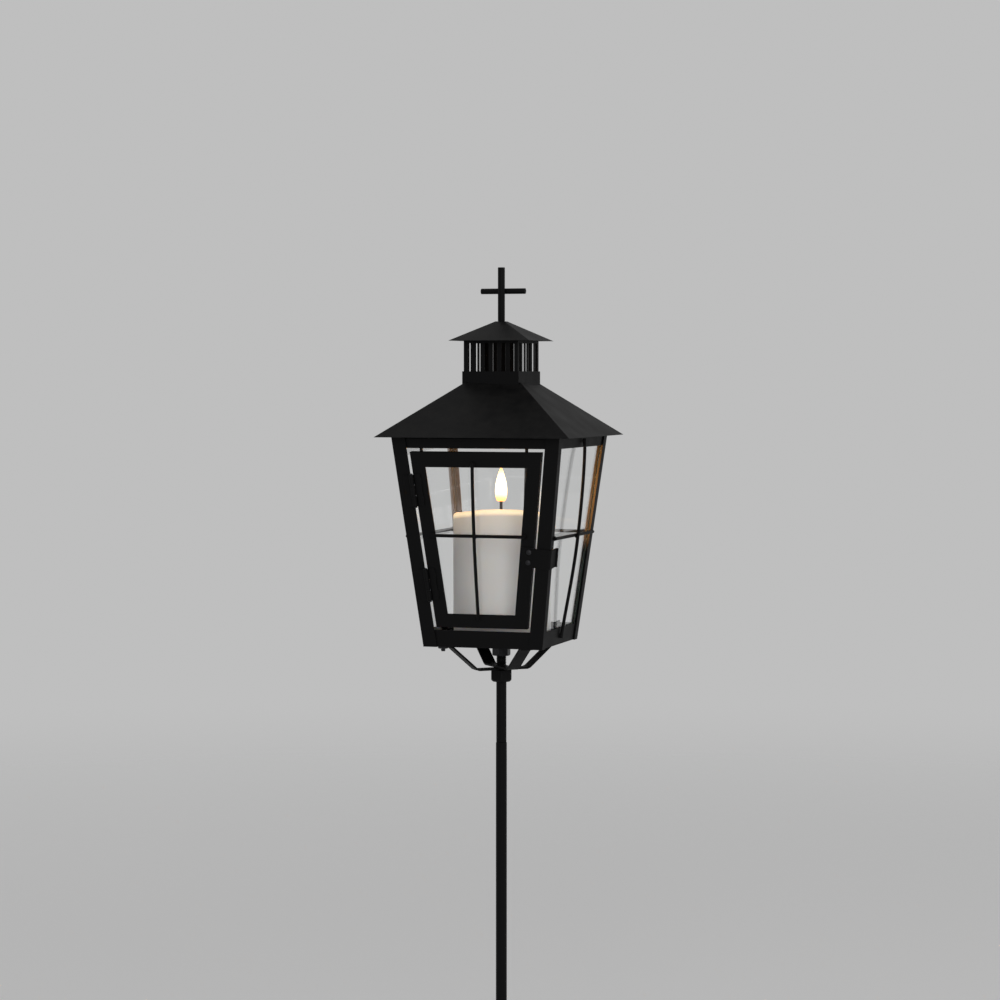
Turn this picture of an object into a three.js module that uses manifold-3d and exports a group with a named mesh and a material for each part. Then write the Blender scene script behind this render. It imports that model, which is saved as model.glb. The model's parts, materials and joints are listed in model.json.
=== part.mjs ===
// Grave lantern: a tapered four-sided lantern of black sheet steel with a hinged glazed door,
// a pyramid roof with a slotted chimney and a cross, and a battery candle inside, carried by a
// crossed strip bracket on a two-part ground stake.
// Millimetres, +Z up, the door faces -Y. z = 0 is ground level on the axis of the stake.

import * as THREE from 'three';
import { mergeVertices } from 'three/addons/utils/BufferGeometryUtils.js';
import Module from 'manifold-3d';

const wasm = await Module();
wasm.setup();

// Body of the lantern
const BASE_Z = 260;               // underside of the lantern above the ground
const BODY_HEIGHT = 162;
const BASE_HALF = 48;             // half width of the body at its underside
const TOP_HALF = 67.2;            // half width of the body at its top
const SHEET = 1.0;
const SEAT = 0.3;                 // gap between sheets that lie on each other
const FACE_GAP = 0.1;             // gap between level faces that rest on each other
const POST_FLANGE = 11;           // width of the posts' flanges on the front face
const SIDE_FLANGE = 8;            // and on the other faces
const LOW_RAIL = 13.1;            // height of the tray's upturned edges
const TOP_RAIL = 8.4;             // depth of the top frame's sides
const TOP_LEDGE = 8;              // width of the top frame's level ledge
const GLASS = 2;
const GLASS_SIDE = 0.4;           // extra gap at the meeting edges of two panes

// Door in the front face
const DOOR_SIDE_GAP = 2.2;        // between the door and the posts
const DOOR_END_GAP = 2.7;         // between the door and the rails
const STILE = 10.8;
const DOOR_TOP_BAND = 11.6;
const DOOR_LOW_BAND = 10.5;
const DOOR_RETURN = 4.6;          // depth of the folded edge
const DOOR_GLASS_LAP = 5;
const TAB_LENGTH = 12;
const TAB_LAP = 3;

// Glazing wires
const WIRE_D = 2.6;
const WIRE_GAP = 0.15;
const WIRE_LEVEL_SHARE = 0.537;   // height of the door's level wire as a share of the body's
const SIDE_WIRE_DROP = 1.3;       // the fixed panes' level wires lie this much lower
const SIDE_WIRE_IN = 5.8;         // and end this far inwards from the corner lines
const WIRE_START = 5;             // upright wires above the underside
const WIRE_STOP = 1.5;            // and below the top of the body
const WIRE_LAP = 4;               // overlap of the door's wires on its frame
const DOOR_WIRE_SHIFT = -2;
const WIRE_SIDES = 10;
const WIRE_BOW = { low: 1.3, high: 0.55 };   // lower values hold the bow out for longer

// Hinges, one above the other on the left of the door
const HINGE_SHARES = { upper: 0.749, lower: 0.3 };   // shares of the body's height
const HINGE_LENGTH = 24.8;
const BARREL_R = 1.9;
const PIN_R = 0.9;
const PIN_PLAY = 0.3;
const PIN_HEAD_R = 1.5;
const PIN_HEAD = 0.7;
const LEAF = 0.8;
const LEAF_WIDTH = 7;
const KNUCKLE_GAP = 0.3;

// Spring clip that keeps the door shut
const CLIP_HEIGHT = 14.8;
const CLIP_SHARE = 0.429;         // share of the body's height
const CLIP = 0.8;
const CLIP_ON_DOOR = 8.5;
const CLIP_LEG = 12;
const CLIP_BEND_R = 1.2;
const CLIP_LIP_R = 0.9;
const RIVET_SPACING = 8;
const RIVET_R = 1.1;
const RIVET_HEAD_R = 2;
const RIVET_HEAD = 0.9;
const RIVET_TAIL_R = 1.5;
const RIVET_DOME = { shoulder: [0.8, 0.65], crown: 0.35 };   // shares of the head's size
const RIVET_IN = 3.4;             // rivets inwards from the door's edge
const HOLE_PLAY = 0.3;

// Clips that hold the fixed panes
const PANE_CLIP = 0.7;
const PANE_CLIP_WIDTH = 9;
const PANE_CLIP_RISE = 18.5;
const PANE_CLIP_FOOT = 3.2;

// Roof, chimney and cap
const EAVE = 10.7;                // overhang of the roof past the body's top
const ROOF_RISE = 41;
const ROOF_LEDGE_REACH = 5.2;     // how far the eave's level ledge reaches in over the body
const CHIMNEY_TURN = -3.9;        // degrees; the chimney stands a little askew on the roof
const CHIMNEY_SHEET = 0.7;
const NECK_HALF = 23.5;
const NECK_ABOVE = 9.5;           // neck band above the roof
const NECK_BELOW = 4.7;           // and inside it
const NECK_LIP = 1;
const COLLAR_PLAY = 0.3;
const CAP_ABOVE = 23.7;           // eave of the cap above the neck band
const CAP_RISE = 15.2;
const CAP_EAVE = 9.35;            // overhang of the cap past the neck band
const CAP_TOP_HALF = 5.4;
const CAP_CROWN = 1.2;
const SLOTS = 6;
const SLOT_PITCH = 7;
const SLOT_WIDTH = 3.7;
const SLOT_BAND = 1.8;            // the slots end this far below the cap's eave

// Cross
const CROSS_HEIGHT = 42;
const CROSS_D = 5.5;
const CROSS_ARM_D = 4.4;
const CROSS_ARM_LENGTH = 36.2;
const CROSS_ARM_DROP = 18.4;      // arm below the top of the upright
const TENON_R = 2;
const TENON_LENGTH = 7.5;
const M4_FLATS = 7;
const M4_NUT = 3.2;

// Bracket under the lantern
const BRACKET_TURN = 42;          // degrees; the crossed strips point near the floor's corners
const STRIP = 1.5;
const STRIP_WIDTH = 10;
const STRIP_DROP = 21;            // underside of the lower strip below the lantern
const STRIP_KNEE = 22;
const STRIP_BEND = { back: 1.5, on: 0.8, rise: 0.9, over: 1.2 };   // how the bends are rounded
const STRIP_SHOULDER_IN = 4.3;    // shoulder's radius less than half the body's underside
const STRIP_TAB = 4.4;
const TAB_GAP = 0.2;

// Stake
const ROD_R = 4;
const ROD_PLAY = 0.3;
const JOINT_DROP = 78.2;          // the two halves of the stake meet here, below the lantern
const SPIGOT_R = 2.8;
const SPIGOT_LENGTH = 22;
const SPIKE_R = 4.3;
const SPIKE_DEPTH = 180;          // length below ground
const POINT_LENGTH = 32;
const POINT_R = 0.8;
const FLOOR_NUT_FLATS = 12.6;
const FLOOR_NUT = 7.9;
const WASHER_R = 8;
const WASHER = 1.6;
const COLLAR_FLATS = 15.6;
const COLLAR_HEIGHT = 9.1;
const COLLAR_CHAMFER = 2.2;

// Screw with a nut through the floor, near its left edge
const SCREW_IN = [7.5, 25.5];     // inwards from the left and the front edge
const SCREW_R = 1.9;
const SCREW_HEAD_R = 2.6;
const SCREW_HEAD = 1.4;
const SCREW_DOME = { side: 0.5, crown: 0.7 };   // shares of the head's height and radius
const SCREW_END = 5.7;

// Battery candle
const CANDLE_MARGIN = 10.5;       // candle inwards from the body's underside edge
const CANDLE_HEIGHT = 101;
const WAX = 6;
const DISH_RIM = 3.5;             // width of the rim round the dish
const DISH_DEPTH = 9;
const DISH_FLOOR_R = 9;
const EDGE_R = 2.5;
const FOOT_EDGE = 1;
const DISH_FULLNESS = 0.8;
const RIM_WAVE = 4.4;             // the rim rises by this much towards its highest point
const RIM_HIGH = -72.3;           // direction of that point in degrees from +X
const RIM_SPREAD = 1.5;           // a higher value makes the rise narrower
const CORE_WALL = 1.5;
const CORE_GAP = 0.3;
const WAX_LID = 5.5;
const FOOT_RECESS = 3;
const FOOT_PLATE = 2;
const BATTERY_R = 7.2;
const BATTERY_LENGTH = 49;
const BATTERY_NUB_R = 2.7;
const BATTERY_NUB = 1.4;
const BATTERY_EDGE = 0.6;
const BATTERY_SPACING = 17;
const HATCH_LENGTH = 36;
const HATCH_WIDTH = 18;
const BOARD_SIZE = 26;
const BOARD = 1.6;
const WICK_R = 1.15;
const WICK_ABOVE = 12.5;          // wick above the rim of the candle
const FLAME_ABOVE = 9.1;          // foot of the flame above the rim
const FLAME_LENGTH = 27.4;
const FLAME_R = 4.7;
const FLAME_SWELL = { low: 0.72, fullness: 0.85, foot: 0.45 };   // its widest place and its foot
const SWITCH_IN = 15.5;           // switch inwards from the front of the candle
const SWITCH_SLOT = [9.4, 4.2];
const SWITCH_KNOB = [4.8, 3.4];
const SWITCH_PLATE = [13, 7.5];
const SWITCH_TRAVEL = 4;
const SWITCH_PROUD = 1.6;
const SWITCH_SHEET = 1;

// Values that follow
const DOOR_EDGE = POST_FLANGE + DOOR_SIDE_GAP;
const DOOR_LOW = LOW_RAIL + DOOR_END_GAP;
const DOOR_HIGH = BODY_HEIGHT - TOP_RAIL - DOOR_END_GAP;
const WIRE_LEVEL = BODY_HEIGHT * WIRE_LEVEL_SHARE;
const SIDE_WIRE_LEVEL = WIRE_LEVEL - SIDE_WIRE_DROP;
const CLIP_CENTRE = BODY_HEIGHT * CLIP_SHARE;
const EAVE_HALF = TOP_HALF + EAVE;
const ROOF_TOP = BODY_HEIGHT + ROOF_RISE;
const NECK_TOP = ROOF_TOP + NECK_ABOVE;
const NECK_LOW = ROOF_TOP - NECK_BELOW;
const CAP_LOW = NECK_TOP + CAP_ABOVE;
const CAP_TOP = CAP_LOW + CAP_RISE;
const CAP_HALF = NECK_HALF + CAP_EAVE;
const CROSS_TOP = CAP_TOP + CROSS_HEIGHT;
const STRIP_SHOULDER = BASE_HALF - STRIP_SHOULDER_IN;
const SCREW_X = SCREW_IN[0] - BASE_HALF;
const SCREW_Y = SCREW_IN[1] - BASE_HALF;
const LEAN = (TOP_HALF - BASE_HALF) / BODY_HEIGHT;
const TILT = Math.atan(LEAN);
const RAIL_DEPTH = SHEET + SEAT;
const PANE_DEPTH = RAIL_DEPTH + SHEET + SEAT;
const WIRE_R = WIRE_D / 2;
const WICK_TOP = CANDLE_HEIGHT + WICK_ABOVE;
const FLAME_LOW = CANDLE_HEIGHT + FLAME_ABOVE;
const CANDLE_Z = SHEET + FACE_GAP;
const CANDLE_R = BASE_HALF - CANDLE_MARGIN;
const CORE_R = CANDLE_R - WAX - CORE_GAP;
const SWITCH_Y = SWITCH_IN - CANDLE_R;
const CORE_TOP = CANDLE_HEIGHT - DISH_DEPTH - WAX_LID - CORE_GAP;
const CHIMNEY_ANGLE = THREE.MathUtils.degToRad(CHIMNEY_TURN);
const COLLAR_HALF = NECK_HALF - CHIMNEY_SHEET - COLLAR_PLAY;
const COLLAR_LOW = NECK_LOW + CHIMNEY_SHEET + COLLAR_PLAY;
const COLLAR_REACH = COLLAR_HALF * (Math.cos(CHIMNEY_ANGLE) + Math.abs(Math.sin(CHIMNEY_ANGLE)));
const CAP_SLOPE = CAP_RISE / (CAP_HALF - CAP_TOP_HALF);
const ROOF_SLOPE = ROOF_RISE / (EAVE_HALF - NECK_HALF - SEAT);
const ROUND = 32;
const SMALL_ROUND = 16;
const WAX_ROUND = 48;
const OVER = 5;                   // how far a cutter runs past what it cuts

const steel = new THREE.MeshStandardMaterial({ color: 0x1a1a1b, roughness: 0.6, metalness: 0.4 });
const zinc = new THREE.MeshStandardMaterial({ color: 0x2a2a2b, roughness: 0.45, metalness: 0.7 });
const glass = new THREE.MeshStandardMaterial({
  color: 0xdfe6e6, roughness: 0.05, metalness: 0, transparent: true, opacity: 0.25,
});
const wax = new THREE.MeshStandardMaterial({ color: 0xe9dfcb, roughness: 0.55, metalness: 0 });
const plastic = new THREE.MeshStandardMaterial({ color: 0xe6e1d6, roughness: 0.5, metalness: 0 });
const darkPlastic = new THREE.MeshStandardMaterial({ color: 0x1c1a18, roughness: 0.6, metalness: 0 });
const flameLight = new THREE.MeshStandardMaterial({
  color: 0xffe2a8, emissive: 0xffb347, emissiveIntensity: 2, roughness: 0.4, metalness: 0,
});
const batteryWrap = new THREE.MeshStandardMaterial({ color: 0x7d8084, roughness: 0.35, metalness: 0.6 });
const boardGreen = new THREE.MeshStandardMaterial({ color: 0x1f5a36, roughness: 0.5, metalness: 0.1 });

const model = new THREE.Group();
const lantern = new THREE.Group();
lantern.position.z = BASE_Z;
model.add(lantern);

// Adds a named mesh to a group.
function piece(name, geometry, material, parent = lantern) {
  const mesh = new THREE.Mesh(geometry, material);
  mesh.name = name;
  parent.add(mesh);
  return mesh;
}

// Booleans

// Turns a closed geometry into a solid, without the flat triangles that a pole leaves.
function toSolid(geometry) {
  const bare = geometry.clone();
  bare.deleteAttribute('normal');
  bare.deleteAttribute('uv');
  const merged = mergeVertices(bare);
  const index = merged.index.array;
  const corners = [];
  for (let i = 0; i < index.length; i += 3) {
    const [a, b, c] = [index[i], index[i + 1], index[i + 2]];
    if (a !== b && b !== c && c !== a) corners.push(a, b, c);
  }
  return new wasm.Manifold(new wasm.Mesh({
    numProp: 3,
    vertProperties: new Float32Array(merged.attributes.position.array),
    triVerts: new Uint32Array(corners),
  }));
}

function toGeometry(solid) {
  const mesh = solid.getMesh();
  const geometry = new THREE.BufferGeometry();
  geometry.setAttribute('position', new THREE.BufferAttribute(mesh.vertProperties, 3));
  geometry.setIndex(new THREE.BufferAttribute(mesh.triVerts, 1));
  geometry.computeVertexNormals();
  return geometry;
}

function join(...geometries) {
  const solids = geometries.map(toSolid);
  return toGeometry(solids.reduce((whole, next) => whole.add(next)));
}

function cut(geometry, ...cutters) {
  const start = toSolid(geometry);
  return toGeometry(cutters.map(toSolid).reduce((whole, next) => whole.subtract(next), start));
}

// Basic forms

function box(x0, x1, y0, y1, z0, z1) {
  const geometry = new THREE.BoxGeometry(x1 - x0, y1 - y0, z1 - z0);
  return geometry.translate((x0 + x1) / 2, (y0 + y1) / 2, (z0 + z1) / 2);
}

function rod(radius, z0, z1, sides = ROUND) {
  const geometry = new THREE.CylinderGeometry(radius, radius, z1 - z0, sides);
  geometry.rotateX(Math.PI / 2);
  return geometry.translate(0, 0, (z0 + z1) / 2);
}

// A turned piece from [radius, height] points, about the Z axis.
function turned(points, sides = ROUND) {
  const profile = points.map(([r, z]) => new THREE.Vector2(r, z));
  return new THREE.LatheGeometry(profile, sides).rotateX(Math.PI / 2);
}

function ring(inner, outer, z0, z1, sides = ROUND) {
  return turned([[inner, z0], [outer, z0], [outer, z1], [inner, z1], [inner, z0]], sides);
}

// A square pyramid frustum, given by its half widths.
function frustum(halfLow, halfHigh, z0, z1) {
  const geometry = new THREE.CylinderGeometry(halfHigh * Math.SQRT2, halfLow * Math.SQRT2, z1 - z0, 4);
  geometry.rotateY(Math.PI / 4);
  geometry.rotateX(Math.PI / 2);
  return geometry.translate(0, 0, (z0 + z1) / 2);
}

function square(half, outline = new THREE.Shape()) {
  outline.moveTo(-half, -half);
  outline.lineTo(half, -half);
  outline.lineTo(half, half);
  outline.lineTo(-half, half);
  outline.closePath();
  return outline;
}

function squareTube(outer, inner, z0, z1) {
  const outline = square(outer);
  outline.holes.push(square(inner, new THREE.Path()));
  const geometry = new THREE.ExtrudeGeometry(outline, { depth: z1 - z0, bevelEnabled: false });
  return geometry.translate(0, 0, z0);
}

// A hexagonal prism given by its width across flats, with a bore.
function hexNut(flats, bore, z0, z1) {
  const outline = new THREE.Shape();
  for (let i = 0; i < 6; i += 1) {
    const angle = (i + 0.5) * Math.PI / 3;
    const reach = flats / 2 / Math.cos(Math.PI / 6);
    const [x, y] = [reach * Math.cos(angle), reach * Math.sin(angle)];
    if (i === 0) outline.moveTo(x, y);
    else outline.lineTo(x, y);
  }
  outline.closePath();
  const hole = new THREE.Path();
  hole.absarc(0, 0, bore, 0, 2 * Math.PI, true);
  outline.holes.push(hole);
  const nut = new THREE.ExtrudeGeometry(outline, {
    depth: z1 - z0, bevelEnabled: false, curveSegments: SMALL_ROUND,
  });
  return nut.translate(0, 0, z0);
}

// The outline of a bent strip: its centre line widened to both sides, mitred at the bends.
function ribbon(points, thickness) {
  const left = [];
  const right = [];
  points.forEach((point, i) => {
    const before = points[Math.max(i - 1, 0)];
    const after = points[Math.min(i + 1, points.length - 1)];
    const inward = point.clone().sub(before).normalize();
    const onward = after.clone().sub(point).normalize();
    if (i === 0) inward.copy(onward);
    if (i === points.length - 1) onward.copy(inward);
    const along = inward.clone().add(onward).normalize();
    const reach = thickness / 2 / along.dot(inward);
    const normal = new THREE.Vector2(-along.y, along.x).multiplyScalar(reach);
    left.push(point.clone().add(normal));
    right.unshift(point.clone().sub(normal));
  });
  return new THREE.Shape([...left, ...right]);
}

// A rounded bend from one straight run to the next, as points on an arc.
function bend(centre, radius, from, to, steps = 5) {
  const points = [];
  for (let i = 0; i <= steps; i += 1) {
    const angle = from + (to - from) * i / steps;
    const reach = new THREE.Vector2(Math.cos(angle), Math.sin(angle)).multiplyScalar(radius);
    points.push(reach.add(new THREE.Vector2(...centre)));
  }
  return points;
}

// Face frames: x across the face, z up its slope, y inwards from the outer surface.

const slope = (height) => height / Math.cos(TILT);
const halfAt = (up) => BASE_HALF + up * Math.sin(TILT);

const SIDES = ['front', 'right', 'rear', 'left'];

const FACES = SIDES.map((side, i) => {
  const turn = new THREE.Group();
  turn.rotation.z = i * Math.PI / 2;
  const face = new THREE.Group();
  face.position.y = -BASE_HALF;
  face.rotation.x = TILT;
  turn.add(face);
  lantern.add(turn);
  turn.updateMatrix();
  face.updateMatrix();
  return { side, face, matrix: turn.matrix.clone().multiply(face.matrix) };
});

// A part of a face between two heights, drawn in from its corner lines.
function trapezoid(low, high, inset, outline = new THREE.Shape()) {
  const [s0, s1] = [slope(low), slope(high)];
  const [w0, w1] = [halfAt(s0) - inset, halfAt(s1) - inset];
  outline.moveTo(-w0, s0);
  outline.lineTo(w0, s0);
  outline.lineTo(w1, s1);
  outline.lineTo(-w1, s1);
  outline.closePath();
  return outline;
}

// A flat sheet in a face that fills the depths from..to.
function sheet(outline, from, to) {
  const geometry = new THREE.ExtrudeGeometry(outline, { depth: to - from, bevelEnabled: false });
  geometry.rotateX(Math.PI / 2);
  return geometry.translate(0, to, 0);
}

// Frame of the body

// An angle section that leans along the front right corner line, with the widths of its flange
// on the front face and of the one on the right face.
function cornerPost(across, back) {
  const [h, t] = [BASE_HALF, SHEET / Math.cos(TILT)];
  const section = new THREE.Shape([
    [h, -h], [h, back - h], [h - t, back - h], [h - t, t - h], [h - across, t - h], [h - across, -h],
  ].map(([x, y]) => new THREE.Vector2(x, y)));
  const geometry = new THREE.ExtrudeGeometry(section, { depth: BODY_HEIGHT, bevelEnabled: false });
  const lean = new THREE.Matrix4().set(1, 0, LEAN, 0, 0, 1, -LEAN, 0, 0, 0, 1, 0, 0, 0, 0, 1);
  return geometry.applyMatrix4(lean);
}

function posts() {
  const corners = [
    ['post_front_right', POST_FLANGE, SIDE_FLANGE],
    ['post_rear_right', SIDE_FLANGE, SIDE_FLANGE],
    ['post_rear_left', SIDE_FLANGE, SIDE_FLANGE],
    ['post_front_left', SIDE_FLANGE, POST_FLANGE],
  ];
  corners.forEach(([name, across, back], i) => {
    piece(name, cornerPost(across, back), steel).rotation.z = i * Math.PI / 2;
  });
}

// A folded floor whose four upturned edges are the lower rails.
function baseTray() {
  const half = BASE_HALF - RAIL_DEPTH - SHEET / 2;
  const floor = box(-half, half, -half, half, 0, SHEET);
  const inset = RAIL_DEPTH + SHEET + SEAT;
  const edges = FACES.map(({ matrix }) => sheet(
    trapezoid(0, LOW_RAIL, inset), RAIL_DEPTH, RAIL_DEPTH + SHEET,
  ).applyMatrix4(matrix));
  const hole = rod(SCREW_R + HOLE_PLAY, -OVER, OVER, SMALL_ROUND).translate(SCREW_X, SCREW_Y, 0);
  piece('base_tray', cut(join(floor, ...edges), hole), steel);
}

// The upper rails with a level ledge all round, which carries the roof.
function topFrame() {
  const top = BODY_HEIGHT - SEAT;
  const inset = RAIL_DEPTH + SHEET + SEAT;
  const reach = TOP_HALF - RAIL_DEPTH - SHEET / 2;
  const ledge = squareTube(reach, reach - TOP_LEDGE, top - SHEET, top);
  const rails = FACES.map(({ matrix }) => sheet(
    trapezoid(BODY_HEIGHT - TOP_RAIL, top - SHEET / 2, inset), RAIL_DEPTH, RAIL_DEPTH + SHEET,
  ).applyMatrix4(matrix));
  piece('top_frame', join(ledge, ...rails), steel);
}

// Glazing

function panes() {
  const low = SHEET;
  const high = BODY_HEIGHT - SEAT - SHEET - 2 * SEAT - GLASS * Math.sin(TILT);
  const inset = PANE_DEPTH + GLASS + GLASS_SIDE;
  FACES.slice(1).forEach(({ side, face }) => {
    piece(`glass_${side}`, sheet(trapezoid(low, high, inset), PANE_DEPTH, PANE_DEPTH + GLASS), glass, face);
  });
}

// A round wire that lies across a face.
function levelWire(halfLength, level) {
  const geometry = new THREE.CylinderGeometry(WIRE_R, WIRE_R, 2 * halfLength, WIRE_SIDES);
  geometry.rotateZ(Math.PI / 2);
  return geometry.translate(0, -WIRE_R - WIRE_GAP, slope(level));
}

// A round wire up a face that bows outwards over a level wire.
function uprightWire(low, high, endDepth, level) {
  const crossing = -(3 * WIRE_R + 2 * WIRE_GAP);
  const middle = slope(level);
  const steps = 16;
  const points = [];
  for (let i = 0; i <= steps; i += 1) {
    const up = slope(low) + (slope(high) - slope(low)) * i / steps;
    const [end, fullness] = up < middle ? [slope(low), WIRE_BOW.low] : [slope(high), WIRE_BOW.high];
    const share = Math.max(Math.cos((up - middle) / (end - middle) * Math.PI / 2), 0) ** fullness;
    points.push(new THREE.Vector3(0, endDepth + (crossing - endDepth) * share, up));
  }
  const section = new THREE.Shape();
  section.absarc(0, 0, WIRE_R, 0, 2 * Math.PI);
  return new THREE.ExtrudeGeometry(section, {
    steps: 24, curveSegments: WIRE_SIDES / 2, extrudePath: new THREE.CatmullRomCurve3(points),
  });
}

function sideWires() {
  const railDepth = RAIL_DEPTH - WIRE_R - WIRE_GAP;
  FACES.slice(1).forEach(({ side, face }) => {
    const reach = halfAt(slope(SIDE_WIRE_LEVEL)) - SIDE_WIRE_IN;
    piece(`wire_level_${side}`, levelWire(reach, SIDE_WIRE_LEVEL), steel, face);
    const upright = uprightWire(WIRE_START, BODY_HEIGHT - WIRE_STOP, railDepth, SIDE_WIRE_LEVEL);
    piece(`wire_upright_${side}`, upright, steel, face);
  });
}

// A bent clip on the floor that holds the lower edge of a fixed pane from inside.
function paneClip() {
  const depth = PANE_DEPTH + GLASS + SEAT + PANE_CLIP / 2;
  const bottom = slope(SHEET + SEAT) + depth * Math.tan(-TILT) + PANE_CLIP;
  const foot = new THREE.Vector2(Math.cos(TILT), -Math.sin(TILT)).multiplyScalar(PANE_CLIP_FOOT);
  const points = [
    new THREE.Vector2(depth, slope(PANE_CLIP_RISE)),
    new THREE.Vector2(depth, bottom),
    new THREE.Vector2(depth, bottom).add(foot),
  ];
  const geometry = new THREE.ExtrudeGeometry(ribbon(points, PANE_CLIP), {
    depth: PANE_CLIP_WIDTH, bevelEnabled: false,
  });
  geometry.applyMatrix4(new THREE.Matrix4().set(0, 0, 1, 0, 1, 0, 0, 0, 0, 1, 0, 0, 0, 0, 0, 1));
  return geometry.translate(-PANE_CLIP_WIDTH / 2, 0, 0);
}

function paneClips() {
  FACES.slice(1).forEach(({ side, face }) => piece(`pane_clip_${side}_low`, paneClip(), steel, face));
}

// Door

// The place of the spring clip: z along the front right corner line, x across the front.
function clipFrame() {
  const corner = BASE_HALF + CLIP_CENTRE * LEAN;
  const upward = new THREE.Vector3(LEAN, -LEAN, 1).normalize();
  const inward = new THREE.Vector3(0, Math.cos(TILT), Math.sin(TILT));
  const across = new THREE.Vector3().crossVectors(inward, upward);
  const matrix = new THREE.Matrix4().makeBasis(across, inward, upward);
  return matrix.setPosition(corner, -corner, CLIP_CENTRE);
}

const CLIP_FRAME = clipFrame();

function rivetPlaces() {
  const x = -(DOOR_EDGE + RIVET_IN);
  return { upper: [x, RIVET_SPACING / 2], lower: [x, -RIVET_SPACING / 2] };
}

// A cutter or rivet that stands square to the front face in the clip's frame.
function acrossFront(geometry, [x, z]) {
  return geometry.rotateX(-Math.PI / 2).translate(x, 0, z);
}

function doorFrame() {
  const outline = trapezoid(DOOR_LOW, DOOR_HIGH, DOOR_EDGE);
  const window = [DOOR_LOW + DOOR_LOW_BAND, DOOR_HIGH - DOOR_TOP_BAND, DOOR_EDGE + STILE];
  outline.holes.push(trapezoid(...window, new THREE.Path()));
  const skin = sheet(outline, 0, SHEET);
  const edge = trapezoid(DOOR_LOW, DOOR_HIGH, DOOR_EDGE);
  edge.holes.push(trapezoid(DOOR_LOW + SHEET, DOOR_HIGH - SHEET, DOOR_EDGE + SHEET, new THREE.Path()));
  const fold = sheet(edge, 0, DOOR_RETURN);
  const toFace = FACES[0].matrix.clone().invert().multiply(CLIP_FRAME);
  const holes = Object.values(rivetPlaces()).map((place) => acrossFront(
    rod(RIVET_R + HOLE_PLAY, -OVER, OVER, SMALL_ROUND), place,
  ).applyMatrix4(toFace));
  return cut(join(skin, fold, ...doorTabs()), ...holes);
}

// Tabs of the folded edge, bent over the back of the pane.
function doorTabs() {
  const [d0, d1] = [DOOR_RETURN - SHEET, DOOR_RETURN];
  const grip = DOOR_GLASS_LAP - TAB_LAP;
  const [s0, s1] = [slope(DOOR_LOW), slope(DOOR_HIGH)];
  const middle = (s0 + s1) / 2;
  const [w0, w1] = [-TAB_LENGTH / 2, TAB_LENGTH / 2];
  const side = halfAt(middle) - DOOR_EDGE - SHEET / 2;
  return [
    box(w0, w1, d0, d1, s0 + SHEET / 2, slope(DOOR_LOW + DOOR_LOW_BAND) - grip),
    box(w0, w1, d0, d1, slope(DOOR_HIGH - DOOR_TOP_BAND) + grip, s1 - SHEET / 2),
    box(-side, -(side - STILE + grip + SHEET), d0, d1, middle + w0, middle + w1),
    box(side - STILE + grip + SHEET, side, d0, d1, middle + w0, middle + w1),
  ];
}

function door() {
  const face = FACES[0].face;
  piece('door_frame', doorFrame(), steel, face);
  const pane = trapezoid(
    DOOR_LOW + DOOR_LOW_BAND - DOOR_GLASS_LAP,
    DOOR_HIGH - DOOR_TOP_BAND + DOOR_GLASS_LAP,
    DOOR_EDGE + STILE - DOOR_GLASS_LAP,
  );
  piece('door_glass', sheet(pane, SHEET + SEAT, SHEET + SEAT + GLASS), glass, face);
  const reach = halfAt(slope(WIRE_LEVEL)) - DOOR_EDGE - STILE + WIRE_LAP;
  piece('door_wire_level', levelWire(reach, WIRE_LEVEL), steel, face);
  const low = DOOR_LOW + DOOR_LOW_BAND - WIRE_LAP;
  const high = DOOR_HIGH - DOOR_TOP_BAND + WIRE_LAP;
  const upright = uprightWire(low, high, -WIRE_R - WIRE_GAP, WIRE_LEVEL);
  piece('door_wire_upright', upright, steel, face).position.x = DOOR_WIRE_SHIFT;
}

// Hinges: a leaf on the post with two knuckles, a leaf on the door with one, and a pin.
// In the hinge's frame z runs along the pin, x points to the door and y inwards.

function hingeLeaf(direction, knuckles) {
  const [y0, y1] = [BARREL_R - LEAF, BARREL_R];
  const clear = BARREL_R + PIN_PLAY;
  const span = (a, b) => (direction > 0 ? [a, b] : [-b, -a]);
  const plate = box(...span(clear, LEAF_WIDTH), y0, y1, -HINGE_LENGTH / 2, HINGE_LENGTH / 2);
  const barrels = knuckles.map(([z0, z1]) => rod(BARREL_R, z0, z1, SMALL_ROUND));
  const webs = knuckles.map(([z0, z1]) => box(...span(0, clear + LEAF), y0, y1, z0, z1));
  const bore = rod(PIN_R + PIN_PLAY, -HINGE_LENGTH, HINGE_LENGTH, SMALL_ROUND);
  return cut(join(plate, ...barrels, ...webs), bore);
}

function hinges() {
  const end = HINGE_LENGTH / 2;
  const third = HINGE_LENGTH / 6;
  const outer = [[-end, -third - KNUCKLE_GAP / 2], [third + KNUCKLE_GAP / 2, end]];
  const inner = [[-third + KNUCKLE_GAP / 2, third - KNUCKLE_GAP / 2]];
  const line = (POST_FLANGE + DOOR_EDGE) / 2;
  Object.entries(HINGE_SHARES).forEach(([place, share]) => {
    const height = BODY_HEIGHT * share;
    const frame = new THREE.Group();
    frame.position.set(line - halfAt(slope(height)), -BARREL_R - WIRE_GAP, slope(height));
    frame.rotation.y = -Math.atan(Math.sin(TILT));
    FACES[0].face.add(frame);
    piece(`hinge_${place}_post_leaf`, hingeLeaf(-1, outer), steel, frame);
    piece(`hinge_${place}_door_leaf`, hingeLeaf(1, inner), steel, frame);
    const head = end + SEAT;
    const pin = turned([
      [0, -head - PIN_HEAD], [PIN_HEAD_R, -head - PIN_HEAD], [PIN_HEAD_R, -head], [PIN_R, -head],
      [PIN_R, head], [PIN_HEAD_R, head], [PIN_HEAD_R, head + PIN_HEAD], [0, head + PIN_HEAD],
    ], SMALL_ROUND);
    piece(`hinge_${place}_pin`, pin, zinc, frame);
  });
}

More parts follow.
